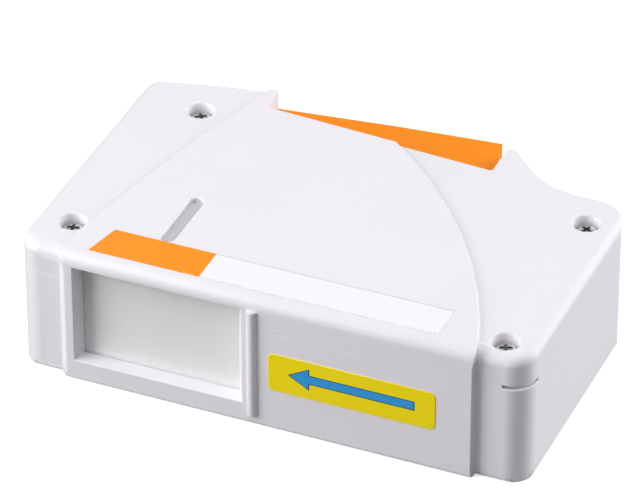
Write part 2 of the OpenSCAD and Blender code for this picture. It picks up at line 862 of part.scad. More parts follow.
module drive_pawl() {
    color("dimgray") placed() pawl(drive_pivot, drive_nose);
}

module stop_pawl() {
    color("dimgray") placed() pawl(stop_pivot, stop_nose);
}

// Hub and flanges of a reel, before its bore is cut
module reel_body(r) {
    rod(reel_hub_r, reel_z, reel_top);
    difference() {
        rod(r, reel_top - flange_t, reel_top);
        for (k = [0:window_holes - 1]) rotate([0, 0, 360 * k / window_holes])
            translate([(r + reel_hub_r) / 2, 0, 0])
                rod(window_hole_r, reel_top - flange_t - over, reel_top + over);
    }
}

module supply_reel() {
    color("whitesmoke") placed() at([supply]) difference() {
        union() {
            reel_body(supply_r);
            rod(supply_r, reel_z, reel_z + flange_t);
        }
        rod(spindle_r + fit, 0, body_h);
    }
}

module take_up_reel() {
    pitch = 360 / ratchet_teeth;
    root = ratchet_r - ratchet_deep;
    color("whitesmoke") placed() at([take_up]) difference() {
        union() {
            reel_body(root);
            translate([0, 0, reel_z]) linear_extrude(ratchet_t)
                polygon([for (k = [0:ratchet_teeth - 1]) each [
                    polar(root, ratchet_phase + k * pitch),
                    polar(ratchet_r, ratchet_phase + (k + steep_share) * pitch),
                ]]);
        }
        rod(spindle_r + fit, 0, body_h);
    }
}

module tape_roll(r) {
    difference() {
        rod(r, tape_z0, tape_z1);
        rod(reel_hub_r + fit, tape_z0 - over, tape_z1 + over);
    }
}

module supply_roll() {
    color("lightsteelblue") placed() at([supply]) tape_roll(supply_roll_r);
}

module take_up_roll() {
    color("lightsteelblue") placed() at([take_up]) tape_roll(take_roll_r);
}

module reel_clips() {
    color("silver") placed() at([supply, take_up]) difference() {
        rod(clip_r, reel_top + shoulder_h, reel_top + shoulder_h + clip_t);
        rod(clip_pin_r + fit, reel_top, ceil_z);
    }
}

module brake_washer() {
    color("tan") placed() at([supply]) difference() {
        rod(spindle_r + washer_rim, deck_top, deck_top + washer_t);
        rod(spindle_r + seat_rim + fit, 0, ceil_z);
    }
}

module pad_holder() {
    back_d = pad_d + pad_t;
    color("gainsboro") placed() difference() {
        union() {
            translate([window_x0 + pad_end_left, back_d, deck_top])
                cube([window_w - pad_end_left - pad_end_right, holder_t, holder_top - deck_top]);
            translate([roller_left[0] - bracket_side, deck_front, holder_top - bracket_t])
                cube([
                    roller_right[0] - roller_left[0] + 2 * bracket_side,
                    back_d + holder_t - deck_front, bracket_t,
                ]);
            at(peg_places()) rod(peg_r, deck_z + gap, deck_top + over);
        }
        at([roller_left, roller_right]) rod(guide_pin_r + fit, 0, ceil_z);
    }
}

module cleaning_pad() {
    color("slategray") placed() translate([0, 0, tape_z0 - pad_over])
        linear_extrude(tape_w + 2 * pad_over)
            polygon(outline([
                [window_x0 + pad_end_left, pad_d, pad_edge_r],
                [window_x1 - pad_end_right, pad_d, pad_edge_r],
                [window_x1 - pad_end_right, pad_d + pad_t, 0], [window_x0 + pad_end_left, pad_d + pad_t, 0],
            ]));
}

module guide_pins() {
    color("silver") placed() at([roller_left, roller_right]) rod(guide_pin_r, deck_z + gap, holder_top);
}

module guide_roller(place) {
    color("whitesmoke") placed() at([place]) difference() {
        rod(roller_r, deck_top + gap, holder_top - bracket_t - gap);
        rod(guide_pin_r + fit, 0, ceil_z);
    }
}

module left_guide_roller() {
    guide_roller(roller_left);
}

module right_guide_roller() {
    guide_roller(roller_right);
}

// Angle of the common normal of two circles that a tape touches on the same side
function tangent_dir(c1, r1, c2, r2, side) =
    let (d = c2 - c1)
    atan2(d[1], d[0]) + side * acos((r1 - r2) / norm(d));

module tape_run() {
    guide = roller_r + tape_air;
    left_dir = tangent_dir(roller_left, guide, supply, supply_roll_r + tape_air, 1);
    right_dir = tangent_dir(roller_right, guide, take_up, take_roll_r + tape_air, -1);
    first = 270 - left_dir;
    last = right_dir + 90;
    function side(extra) = concat(
        [supply + polar(supply_roll_r + tape_air + extra, left_dir)],
        [for (k = [0:6]) roller_left + polar(guide + extra, left_dir + first * k / 6)],
        [for (k = [0:4]) roller_right + polar(guide + extra, 270 + last * k / 4)],
        [take_up + polar(take_roll_r + tape_air + extra, right_dir)]
    );
    inner = side(0);
    outer = side(tape_t);
    color("aliceblue") placed() translate([0, 0, tape_z0]) linear_extrude(tape_w)
        polygon(concat(outer, [for (i = [len(inner) - 1:-1:0]) inner[i]]));
}

module direction_label() {
    color("gold") placed() translate([label_x0, 0, label_z]) rotate([90, 0, 0])
        linear_extrude(label_t) polygon(outline([
            [0, 0, label_r], [label_w, 0, label_r], [label_w, label_h, label_r], [0, label_h, label_r],
        ]));
}

module type_label() {
    color("orange") placed() translate([type_x0, type_d0, panel_top]) linear_extrude(label_t)
        polygon([[0, 0], [type_w, 0], [type_w, type_h], [type_slant, type_h]]);
}

module title_strip() {
    color("snow") placed() translate([type_x0 + type_w, type_d0, panel_top])
        cube([strip_w, type_h, label_t]);
}

bottom_case();
top_cover();
sight_window();
case_screws();
mechanism_deck();
deck_screws();
shutter();
shutter_arm();
lever();
lever_pin();
lever_spring();
drive_pawl();
stop_pawl();
supply_reel();
supply_roll();
take_up_reel();
take_up_roll();
reel_clips();
brake_washer();
pad_holder();
cleaning_pad();
guide_pins();
left_guide_roller();
right_guide_roller();
tape_run();
direction_label();
type_label();
title_strip();
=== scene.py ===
"""Fibre optic cleaning cassette: shapes, finishes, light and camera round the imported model.

Lengths are written in millimetres, and MM turns them into metres. X runs along the front from
the window to the arrow label, Y from the window side to the lever side, and Z up from the base.
"""

import json
import math

import bmesh
import bpy
from mathutils import Matrix, Vector
from mathutils.bvhtree import BVHTree

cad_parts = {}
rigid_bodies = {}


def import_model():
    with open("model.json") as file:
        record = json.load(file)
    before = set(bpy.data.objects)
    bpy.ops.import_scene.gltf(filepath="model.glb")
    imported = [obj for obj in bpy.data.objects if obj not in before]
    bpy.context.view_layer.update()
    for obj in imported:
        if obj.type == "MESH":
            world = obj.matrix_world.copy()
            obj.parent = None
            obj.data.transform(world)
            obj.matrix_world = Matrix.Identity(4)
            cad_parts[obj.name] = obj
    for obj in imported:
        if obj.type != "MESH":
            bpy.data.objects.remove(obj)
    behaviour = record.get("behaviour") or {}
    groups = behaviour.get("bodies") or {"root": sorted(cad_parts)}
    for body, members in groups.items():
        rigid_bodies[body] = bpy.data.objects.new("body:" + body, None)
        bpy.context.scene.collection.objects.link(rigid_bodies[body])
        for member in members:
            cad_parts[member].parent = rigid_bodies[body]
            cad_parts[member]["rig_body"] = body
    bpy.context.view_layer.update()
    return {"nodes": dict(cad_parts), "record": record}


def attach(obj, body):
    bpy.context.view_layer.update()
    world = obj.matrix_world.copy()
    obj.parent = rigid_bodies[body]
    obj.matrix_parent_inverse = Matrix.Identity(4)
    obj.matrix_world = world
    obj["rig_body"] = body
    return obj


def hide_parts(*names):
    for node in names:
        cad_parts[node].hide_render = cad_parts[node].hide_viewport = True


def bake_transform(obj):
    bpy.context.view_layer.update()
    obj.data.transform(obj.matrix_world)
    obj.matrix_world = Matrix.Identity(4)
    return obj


MM = 0.001
MM_IN_METRE = 1000.0
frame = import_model()
scene = bpy.context.scene
BODY_OF = {node: piece["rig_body"] for node, piece in frame["nodes"].items()}
SLOT_OF = {row["node"]: row["material_slot"] for row in frame["record"]["subparts"]}

# The camera that was fitted to the photograph, from the foot of the front panel's middle
CAMERA_AZIMUTH = 22.934
CAMERA_ELEVATION = 34.2746
CAMERA_ROLL = -0.0311
CAMERA_SIDE = 11.4304
CAMERA_RISE = 38.1962
CAMERA_DISTANCE = 1028.4838
CAMERA_LENS = 277.2605

# Places that repeat the source's: rows are counted from the middle of the case's depth
FRONT_Y = -38.9
SEAM_Z = 24.2
CASE_TOP_Z = 31.2
PANEL_TOP_Z = 32.0
CASE_SCREWS = ((-42, 23.3, 35), (-49.2, -26.5, 12), (50.6, 14.8, 64), (50.4, -31.8, 20))
DECK_SCREWS = ((-42.5, -22.25, 10), (-42.5, 17.0, 40), (34, -22.25, 75), (34, 5.1, 25))
LEVER_HUB = (-25.0, 24.6)
SUPPLY = (-30.0, -2.9)
TAKE_UP = (16.0, -7.4)
GUIDES = ((-43.4, -31.45), (-6.5, -31.45))
TAPE_Z = (8.6, 25.2)
TAPE_THICK = 0.2
LABEL_THICK = 0.15
# From the tape's middle line, the radius at each roller and roll, and where it leaves them
GUIDE_R = 1.95
SUPPLY_R = 15.35
TAKE_UP_R = 9.35
TAKE_UP_TANGENT = -56.0776
TITLE_BACK_Y = FRONT_Y + 2.9 + 8.9


def mm(x, y, z):
    return Vector((x, y, z)) * MM


# ---- mesh tools


def in_scene(name, data):
    """A new object in the scene that shows data."""
    made = bpy.data.objects.new(name, data)
    scene.collection.objects.link(made)
    return made


def add_piece(name, mesh, node=None, body=None, rides=True):
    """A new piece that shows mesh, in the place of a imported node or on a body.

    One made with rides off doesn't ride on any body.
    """
    piece = in_scene(name, mesh)
    if rides:
        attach(piece, body or BODY_OF[node])
    if node:
        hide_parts(node)
    return piece


def mesh_from(name, form):
    mesh = bpy.data.meshes.new(name)
    form.normal_update()
    form.to_mesh(mesh)
    form.free()
    return mesh


def apply_modifiers(piece):
    """Works the piece's modifiers into its mesh, so that none is left on it."""
    bpy.context.view_layer.update()
    seen = piece.evaluated_get(bpy.context.evaluated_depsgraph_get())
    mesh = bpy.data.meshes.new_from_object(seen)
    piece.modifiers.clear()
    piece.data = mesh


SHORT = 0.5


def even_normals(piece, sharp_angle, short_angle=None):
    """Shades smoothly, with flat sides kept flat and edges over sharp_angle kept sharp.

    Edges shorter than SHORT stay smooth up to short_angle.
    """
    form = bmesh.new()
    form.from_mesh(piece.data)
    for face in form.faces:
        face.smooth = True
    for each in form.edges:
        limit = short_angle if short_angle and each.calc_length() < SHORT * MM else sharp_angle
        each.smooth = len(each.link_faces) != 2 or each.calc_face_angle() < math.radians(limit)
    form.to_mesh(piece.data)
    form.free()
    weighted = piece.modifiers.new("normals", "WEIGHTED_NORMAL")
    weighted.keep_sharp = True
    apply_modifiers(piece)


def case_shell_tree():
    """A search tree of what closes the case at rest, to tell outer edges from inner ones."""
    form = bmesh.new()
    for node in ("bottom_case", "top_cover", "sight_window", "shutter", "lever", "case_screws"):
        form.from_mesh(frame["nodes"][node].data)
    tree = BVHTree.FromBMesh(form)
    form.free()
    return tree


SHELL_TREE = case_shell_tree()
# A line of sight starts this far off its edge, so that it misses the faces beside the edge
CLEAR_OF_EDGE = 0.02
# Corners closer than WELD become one, edges under SHORTEST_EDGE close up, sides that turn by
# less than FLAT become one face, and edges that turn by less than SHARP aren't rounded
WELD = 0.001
SHORTEST_EDGE = 0.035
FLAT = math.radians(0.3)
SHARP = math.radians(24)
# The faces beside a rounded edge are at least this many times as wide as its rounding
ROOM_TO_ROUND = 1.2
ROUNDING_STEPS = 3
# The material slot that marks the rounding's faces while a piece is made
ROUNDED_SLOT = 1
# A face is a narrow strip where its area is under this many millimetres times its outline
NARROW = 0.2
# Edges whose ends lie within this height of the parting line belong to it
SEAM_REACH = 0.06
# Two edges of one corner run straight on where the product of their directions is under this
STRAIGHT_ON = -0.8
# A fold turns by more than FOLDED beside a face under SLIVER square millimetres, and a spike
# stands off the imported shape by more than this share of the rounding
FOLDED = math.radians(150)
SLIVER = 0.3
SPIKE = 0.9
# In degrees: edges over the first stay sharp in the shading, and short edges over the second
MOULDED_SHARP = (35, 78)


def middle_of(edge):
    return (edge.verts[0].co + edge.verts[1].co) / 2


def seen_from_outside(edge):
    """Whether a straight line leads from the edge out of the closed case."""
    out = edge.link_faces[0].normal + edge.link_faces[1].normal
    if out.length < 0.01:
        return False
    out.normalize()
    start = middle_of(edge) + out * CLEAR_OF_EDGE * MM
    return SHELL_TREE.ray_cast(start, out, 1)[0] is None


def reach_from(edge, face):
    """How far a face reaches away from one of its edges."""
    start = edge.verts[0].co
    along = (edge.verts[1].co - start).normalized()
    return max((v.co - start - along * (v.co - start).dot(along)).length for v in face.verts)


# The cover's front corners: the upright arc, the wall's row, the two fillets that meet there,
# and the number of strips that a corner is cut into each way
CORNER_R = 5.3
END_X = 57.5
WALL_Y = -37.2
FRONT_FILLET = 2.8
END_FILLET = 1.9
CORNER_STRIPS = 8


def whole_of(form):
    return [*form.verts, *form.edges, *form.faces]


def cut_across(form, geometry, place, normal):
    bmesh.ops.bisect_plane(
        form, geom=geometry, dist=0.002 * MM, plane_co=mm(*place), plane_no=normal
    )


def soften_front_corner(form, side):
    """Rounds the top of a front corner like a ball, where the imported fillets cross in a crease."""
    middle = Vector((side * (END_X - CORNER_R), WALL_Y + CORNER_R))
    foot = CASE_TOP_Z - FRONT_FILLET
    for place, normal in (
        ((middle.x, 0, 0), (1, 0, 0)),
        ((0, middle.y, 0), (0, 1, 0)),
        ((0, 0, foot), (0, 0, 1)),
    ):
        cut_across(form, whole_of(form), place, normal)

    def corner_faces():
        inside = []
        for face in form.faces:
            x, y, z = face.calc_center_median() / MM
            if side * (x - middle.x) > 0 and y < middle.y and z > foot:
                inside.append(face)
        return inside

    for step in range(1, CORNER_STRIPS):
        share = step / CORNER_STRIPS
        for place, normal in (
            ((middle.x + side * CORNER_R * share, 0, 0), (1, 0, 0)),
            ((0, middle.y - CORNER_R * share, 0), (0, 1, 0)),
            ((0, 0, foot + FRONT_FILLET * share), (0, 0, 1)),
        ):
            faces = corner_faces()
            edges = {e for f in faces for e in f.edges}
            verts = {v for f in faces for v in f.verts}
            cut_across(form, [*verts, *edges, *faces], place, normal)
    faces = corner_faces()
    for vertex in {v for f in faces for v in f.verts}:
        x, y, z = vertex.co / MM
        out = Vector((x, y)) - middle
        if side * out.x < 0 or out.y > 0 or out.length < 0.01:
            continue
        turn = math.atan2(abs(out.x), -out.y) / (math.pi / 2)
        radius = FRONT_FILLET + (END_FILLET - FRONT_FILLET) * turn
        ball = Vector((CORNER_R - out.length - radius, z - (CASE_TOP_Z - radius)))
        if ball.x < 0 < ball.y and ball.length > radius:
            ball *= radius / ball.length
            place = middle + out.normalized() * (CORNER_R - radius - ball.x)
            vertex.co = mm(place.x, place.y, CASE_TOP_Z - radius + ball.y)
    bmesh.ops.triangulate(form, faces=faces)
    form.normal_update()


# The panel's ramps cross the front's fillets this far from the middle, outside these levels and
# in front of this row
RAMP_REACH_X = (44.5, 49)
RAMP_CLEAR_Z = (1.3, 27.9)
RAMP_CLEAR_Y = FRONT_Y + 5.0


def cut_by_ramp_limits(form):
    """Cuts the shell's faces where the rounding beside the ramps starts and ends."""
    for place, normal in (
        ((0, RAMP_CLEAR_Y, 0), (0, 1, 0)),
        ((0, 0, RAMP_CLEAR_Z[0]), (0, 0, 1)),
        ((0, 0, RAMP_CLEAR_Z[1]), (0, 0, 1)),
    ):
        cut_across(form, whole_of(form), place, normal)
    form.normal_update()


def on_ramp_fillet(edge):
    middle = middle_of(edge) / MM
    beside = RAMP_REACH_X[0] < abs(middle.x) < RAMP_REACH_X[1]
    level = RAMP_CLEAR_Z[0] < middle.z < RAMP_CLEAR_Z[1]
    return beside and middle.y < RAMP_CLEAR_Y and not level


def runs_straight_on(edge, vertex):
    """Whether a neighbour of this edge leads straight on from its end, where rounding slides."""
    way = (edge.other_vert(vertex).co - vertex.co).normalized()
    for face in edge.link_faces:
        for other in face.edges:
            if other is not edge and vertex in other.verts:
                beyond = (other.other_vert(vertex).co - vertex.co).normalized()
                if beyond.dot(way) < STRAIGHT_ON:
                    return True
    return False


def edges_to_round(form, edge, outer_only):
    """The sharp edges with room for this rounding, without those that fade out in a fillet."""
    room = ROOM_TO_ROUND * edge * MM
    chosen = set()
    for each in form.edges:
        if len(each.link_faces) != 2 or each.calc_face_angle() < SHARP:
            continue
        if min(reach_from(each, face) for face in each.link_faces) < room:
            continue
        if outer_only and (on_ramp_fillet(each) or not seen_from_outside(each)):
            continue
        chosen.add(each)
    loose = [v for v in form.verts if sum(e in chosen for e in v.link_edges) == 1]
    while loose:
        vertex = loose.pop()
        last = [e for e in vertex.link_edges if e in chosen]
        if len(last) == 1 and runs_straight_on(last[0], vertex):
            chosen.remove(last[0])
            loose.append(last[0].other_vert(vertex))
    return chosen


def clean_form(node):
    """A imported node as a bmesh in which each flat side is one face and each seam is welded."""
    form = bmesh.new()
    form.from_mesh(frame["nodes"][node].data)
    bmesh.ops.remove_doubles(form, verts=form.verts, dist=WELD * MM)
    bmesh.ops.dissolve_limit(form, angle_limit=FLAT, verts=form.verts, edges=form.edges)
    bmesh.ops.dissolve_degenerate(form, dist=SHORTEST_EDGE * MM, edges=form.edges)
    form.normal_update()
    return form


def moulded(node, edge, seam_edge=None, outer_only=False):
    """A node's shape with its edges rounded by edge, and by seam_edge at the parting line."""
    form = clean_form(node)
    if node == "top_cover":
        for side in (-1, 1):
            soften_front_corner(form, side)
    packed = BVHTree.FromBMesh(form)
    if outer_only:
        cut_by_ramp_limits(form)
    weights = form.edges.layers.float.new("bevel_weight_edge")
    for each in edges_to_round(form, edge, outer_only):
        at_seam = all(abs(v.co.z / MM - SEAM_Z) < SEAM_REACH for v in each.verts)
        each[weights] = seam_edge / edge if seam_edge and at_seam else 1.0
    name = node + "_moulded"
    piece = add_piece(name, mesh_from(name, form), node)
    piece.data.materials.clear()
    bevel = piece.modifiers.new("edges", "BEVEL")
    bevel.width = edge * MM
    bevel.segments = ROUNDING_STEPS
    bevel.limit_method = "WEIGHT"
    bevel.use_clamp_overlap = False
    bevel.miter_outer = "MITER_SHARP"
    bevel.material = ROUNDED_SLOT
    piece.data.materials.append(None)
    piece.data.materials.append(None)
    apply_modifiers(piece)
    draw_in_spikes(piece.data, packed, edge)
    mend_folds(piece.data)
    mark_edges(piece.data)
    even_normals(piece, *MOULDED_SHARP)
    return piece


def mend_folds(mesh):
    """Joins each sliver that the rounding folded back over its neighbour to that neighbour."""
    form = bmesh.new()
    form.from_mesh(mesh)
    for _ in range(4):
        folded = [
            e for e in form.edges
            if len(e.link_faces) == 2
            and e.calc_face_angle() > FOLDED
            and min(f.calc_area() for f in e.link_faces) < SLIVER * MM * MM
        ]
        if not folded:
            break
        bmesh.ops.dissolve_edges(form, edges=folded, use_verts=True)
    form.to_mesh(mesh)
    form.free()


def draw_in_spikes(mesh, packed, edge):
    """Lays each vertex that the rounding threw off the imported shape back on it."""
    for vertex in mesh.vertices:
        place, _, _, away = packed.find_nearest(vertex.co)
        if away > SPIKE * edge * MM:
            vertex.co = place


def mark_edges(mesh):
    """Marks the middle of each rounded edge, where handling wears it, and frees the slots."""
    form = bmesh.new()
    form.from_mesh(mesh)
    rounded = form.verts.layers.float.new("rounded_edge")
    strips = {
        f for f in form.faces
        if f.material_index == ROUNDED_SLOT and f.calc_area() < NARROW * MM * f.calc_perimeter()
    }
    for vertex in form.verts:
        faces = vertex.link_faces
        vertex[rounded] = float(bool(faces) and all(f in strips for f in faces))
    for face in form.faces:
        face.material_index = 0
    form.to_mesh(mesh)
    form.free()
    mesh.materials.clear()


def circle(count):
    """The (cosine, sine) of count even steps round a circle."""
    return [(math.cos(math.tau * k / count), math.sin(math.tau * k / count)) for k in range(count)]


def close_tube(form, rings):
    """Joins rings of vertices to a tube, and closes its two ends."""
    for low, high in zip(rings, rings[1:]):
        for k in range(len(low)):
            n = (k + 1) % len(low)
            form.faces.new((low[k], low[n], high[n], high[k]))
    form.faces.new(list(reversed(rings[0])))
    form.faces.new(rings[-1])


def lathed(form, profile):
    """Turns a profile of (radius, height) points, whose two ends lie on the axis, round it."""
    turns = 48
    rings = []
    for radius, height in profile:
        steps = circle(turns if radius else 1)
        rings.append([form.verts.new(mm(radius * c, radius * s, height)) for c, s in steps])
    for low, high in zip(rings, rings[1:]):
        for k in range(turns):
            n = (k + 1) % turns
            if len(low) == 1:
                form.faces.new((low[0], high[k], high[n]))
            elif len(high) == 1:
                form.faces.new((low[k], high[0], low[n]))
            else:
                form.faces.new((low[k], high[k], high[n], low[n]))
    bmesh.ops.recalc_face_normals(form, faces=form.faces)


# ---- shader tools


def put(tree, kind, sockets=(), **settings):
    """Adds a shader node, sets or joins its inputs, and returns its outputs."""
    made = tree.nodes.new("ShaderNode" + kind)
    for name, value in settings.items():
        setattr(made, name, value)
    for key, value in dict(sockets).items():
        if isinstance(value, bpy.types.NodeSocket):
            tree.links.new(value, made.inputs[key])
        else:
            made.inputs[key].default_value = value
    return made.outputs


def work_out(tree, operation, *values):
    return put(tree, "Math", enumerate(values), operation=operation)[0]


def times(tree, first, second):
    return work_out(tree, "MULTIPLY", first, second)


def add_shares(tree, start, *parts):
    """start plus a share of each value, which come as (value, share)."""
    for value, share in parts:
        start = work_out(tree, "MULTIPLY_ADD", value, share, start)
    return start


def mix_colours(tree, share, first, second):
    return put(tree, "Mix", {0: share, 6: first, 7: second}, data_type="RGBA")[2]


def mix_values(tree, share, first, second):
    return put(tree, "Mix", {0: share, 2: first, 3: second}, data_type="FLOAT")[0]


def ramp(tree, value, low, high, to_low=0.0, to_high=1.0):
    return put(
        tree,
        "MapRange",
        {0: value, 1: low, 2: high, 3: to_low, 4: to_high},
        interpolation_type="SMOOTHSTEP",
    )[0]


def new_group(name, inputs, outputs):
    """A shader node group with these named inputs, which are (name, kind, start), and outputs."""
    group = bpy.data.node_groups.new(name, "ShaderNodeTree")
    for label, kind, value in inputs:
        socket = group.interface.new_socket(
            label, in_out="INPUT", socket_type="NodeSocket" + kind
        )
        socket.default_value = value
    for label, kind in outputs:
        group.interface.new_socket(label, in_out="OUTPUT", socket_type="NodeSocket" + kind)
    way_in = group.nodes.new("NodeGroupInput").outputs
    way_out = group.nodes.new("NodeGroupOutput").inputs
    return group, way_in, way_out


def spot_in_mm(tree, per_mm=1.0):
    """Where a point is on its piece, in millimetres times per_mm."""
    place = put(tree, "TexCoord")["Object"]
    scale = times(tree, per_mm, MM_IN_METRE)
    return put(tree, "VectorMath", {0: place, "Scale": scale}, operation="SCALE")[0]


def noise(tree, per_mm, detail=2.0):
    """Soft noise with about per_mm spots to a millimetre."""
    spot = spot_in_mm(tree, per_mm)
    return put(tree, "TexNoise", {"Vector": spot, "Scale": 1.0, "Detail": detail})[0]


def stored_mm(tree, name):
    """A length that a piece's mesh stores under this name, in millimetres."""
    return times(tree, put(tree, "Attribute", attribute_name=name)["Fac"], MM_IN_METRE)


def build_moulded_grain():
    """The fine spark grain that a mould leaves on plastic."""
    group, way_in, way_out = new_group(
        "moulded_grain",
        [("Grains per mm", "Float", 5.0), ("Waviness", "Float", 0.5)],
        [("Height", "Float"), ("Gloss spots", "Float")],
    )
    spot = spot_in_mm(group, way_in["Grains per mm"])
    grain = put(group, "TexNoise", {"Vector": spot, "Scale": 1.0, "Detail": 2.0})[0]
    pits = put(group, "TexVoronoi", {"Vector": spot, "Scale": 0.7})["Distance"]
    height = add_shares(group, grain, (pits, 0.4), (noise(group, 0.07), way_in["Waviness"]))
    group.links.new(height, way_out["Height"])
    group.links.new(ramp(group, grain, 0.35, 0.75), way_out["Gloss spots"])
    return group


def build_handling():
    """Broad faint change of tone and fine dull rubs, from hands and dust."""
    group, way_in, way_out = new_group(
        "handling_marks",
        [
            ("Clean colour", "Color", (1, 1, 1, 1)),
            ("Handled colour", "Color", (0.8, 0.8, 0.8, 1)),
            ("Amount", "Float", 0.5),
        ],
        [("Colour", "Color"), ("Dullness", "Float")],
    )
    broad = ramp(group, noise(group, 0.045, 3.0), 0.35, 0.7)
    specks = ramp(group, noise(group, 1.3, 4.0), 0.55, 0.75)
    film = add_shares(group, times(group, broad, 0.7), (specks, 0.3))
    share = times(group, film, way_in["Amount"])
    colour = mix_colours(group, share, way_in["Clean colour"], way_in["Handled colour"])
    group.links.new(colour, way_out["Colour"])
    group.links.new(film, way_out["Dullness"])
    return group


def build_edge_wear():
    """Rubs the colour and gloss along the rounded edges."""
    group, way_in, way_out = new_group(
        "edge_wear",
        [
            ("Colour", "Color", (1, 1, 1, 1)),
            ("Rubbed colour", "Color", (1, 1, 1, 1)),
            ("Amount", "Float", 0.5),
        ],
        [("Colour", "Color"), ("Rubbed", "Float")],
    )
    edge = put(group, "Attribute", attribute_name="rounded_edge")["Fac"]
    rubbed = times(group, edge, ramp(group, noise(group, 0.35, 5.0), 0.38, 0.62))
    share = times(group, rubbed, way_in["Amount"])
    colour = mix_colours(group, share, way_in["Colour"], way_in["Rubbed colour"])
    group.links.new(colour, way_out["Colour"])
    group.links.new(rubbed, way_out["Rubbed"])
    return group


def build_fine_scratches():
    """Thin long rubs in two directions, as a sliding or handled face gets them."""
    group, way_in, way_out = new_group(
        "fine_scratches", [("Length", "Float", 12.0)], [("Scratch", "Float")]
    )
    spot = spot_in_mm(group)
    lines = []
    for angle, seed in ((0.25, 3.0), (-0.55, 17.0)):
        turned = put(
            group, "VectorRotate", {"Vector": spot, "Angle": angle}, rotation_type="Z_AXIS"
        )[0]
        x, y, z = put(group, "SeparateXYZ", {0: turned})[:3]
        long_x = work_out(group, "DIVIDE", x, way_in["Length"])
        drawn = put(group, "CombineXYZ", {0: long_x, 1: times(group, y, 3.0), 2: z})[0]
        streaks = put(
            group,
            "TexNoise",
            {"Vector": drawn, "W": seed, "Scale": 1.0, "Detail": 1.0},
            noise_dimensions="4D",
        )[0]
        lines.append(ramp(group, streaks, 0.66, 0.74))
    group.links.new(work_out(group, "MAXIMUM", *lines), way_out["Scratch"])
    return group


def build_cloth_weave():
    """Over and under of fine threads, from how far a point is along and up the tape."""
    group, way_in, way_out = new_group(
        "tape_weave",
        [("Threads per mm", "Float", 4.0), ("Depth of fuzz", "Float", 0.4)],
        [("Height", "Float"), ("Weave shade tone", "Float")],
    )
    up = put(group, "SeparateXYZ", {0: spot_in_mm(group)})[2]
    turns = times(group, way_in["Threads per mm"], math.pi)
    warp = work_out(group, "SINE", times(group, stored_mm(group, "along_tape"), turns))
    weft = work_out(group, "SINE", times(group, up, turns))
    over = times(group, warp, weft)
    height = add_shares(group, over, (noise(group, 9.0, 3.0), way_in["Depth of fuzz"]))
    group.links.new(height, way_out["Height"])
    # A tone of the weave's height, which the tape paints darker in its low places as painted shade
    group.links.new(ramp(group, height, -1.0, 1.2), way_out["Weave shade tone"])
    return group


def build_turned_rings():
    """Rings round a piece's own axis: the edges of wound tape, or the marks of a lathe."""
    group, way_in, way_out = new_group(
        "rings",
        [("Rings per mm", "Float", 4.0)],
        [("Height", "Float"), ("Ring tone", "Float")],
    )
    radius = stored_mm(group, "from_axis")
    even = times(group, radius, way_in["Rings per mm"])
    count = add_shares(group, even, (noise(group, 0.2), 1.5))
    line = work_out(group, "SINE", times(group, count, math.tau))
    band = put(group, "CombineXYZ", {0: radius, 2: 4.0})[0]
    tone = put(group, "TexNoise", {"Vector": band, "Scale": 2.5})[0]
    group.links.new(line, way_out["Height"])
    group.links.new(ramp(group, tone, 0.3, 0.7), way_out["Ring tone"])
    return group


GRAIN = build_moulded_grain()
HANDLING = build_handling()
EDGE_WEAR = build_edge_wear()
SCRATCHES = build_fine_scratches()
WEAVE = build_cloth_weave()
RINGS = build_turned_rings()
GRAIN_DEPTH = 0.004


def use_group(tree, group, sockets=()):
    return put(tree, "Group", sockets, node_tree=group)


def new_material(name, **constants):
    """A material with its shader, whose unchanging values are set on the shader's own sockets."""
    material = bpy.data.materials.new(name)
    material.use_nodes = True
    shader = material.node_tree.nodes["Principled BSDF"]
    for socket, value in constants.items():
        shader.inputs[socket.replace("_", " ")].default_value = value
    return material, material.node_tree, shader


def join(tree, output, shader, socket):
    tree.links.new(output, shader.inputs[socket])


def raise_bump(tree, shader, height, depth_mm):
    """Feeds a height through a bump of this depth into the shader's normal."""
    bump = put(tree, "Bump", {"Height": height, "Distance": depth_mm * MM, "Strength": 1.0})
    join(tree, bump[0], shader, "Normal")


def handled_tone(tree, colour, handled, amount):
    """A colour that handling has toned here and there, and how dull it is there."""
    return use_group(
        tree,
        HANDLING,
        {"Clean colour": (*colour, 1), "Handled colour": (*handled, 1), "Amount": amount},
    )


def worn_edges(tree, colour, rubbed, amount):
    """A colour that is rubbed along the rounded edges, and where."""
    return use_group(
        tree, EDGE_WEAR, {"Colour": colour, "Rubbed colour": (*rubbed, 1), "Amount": amount}
    )


def moulded_plastic(
    name, colour, handled, rubbed, roughness, grain=5.0, handling=0.5, wear=0.4, **constants
):
    """Injection moulded plastic: grain, faint handling, and rubbed edges."""
    material, tree, shader = new_material(name, **constants)
    marks = handled_tone(tree, colour, handled, handling)
    worn = worn_edges(tree, marks["Colour"], rubbed, wear)
    join(tree, worn["Colour"], shader, "Base Color")
    skin = use_group(tree, GRAIN, {"Grains per mm": grain})
    scratch = use_group(tree, SCRATCHES)["Scratch"]
    dull = add_shares(
        tree,
        roughness,
        (marks["Dullness"], 0.12),
        (skin["Gloss spots"], -0.05),
        (scratch, 0.08),
        (worn["Rubbed"], -0.1),
    )
    join(tree, dull, shader, "Roughness")
    height = add_shares(tree, skin["Height"], (scratch, -0.5))
    return material, tree, shader, height, worn["Colour"]


def plain_moulded(*args, depth=GRAIN_DEPTH, **options):
    material, tree, shader, height, _ = moulded_plastic(*args, **options)
    raise_bump(tree, shader, height, depth)
    return material


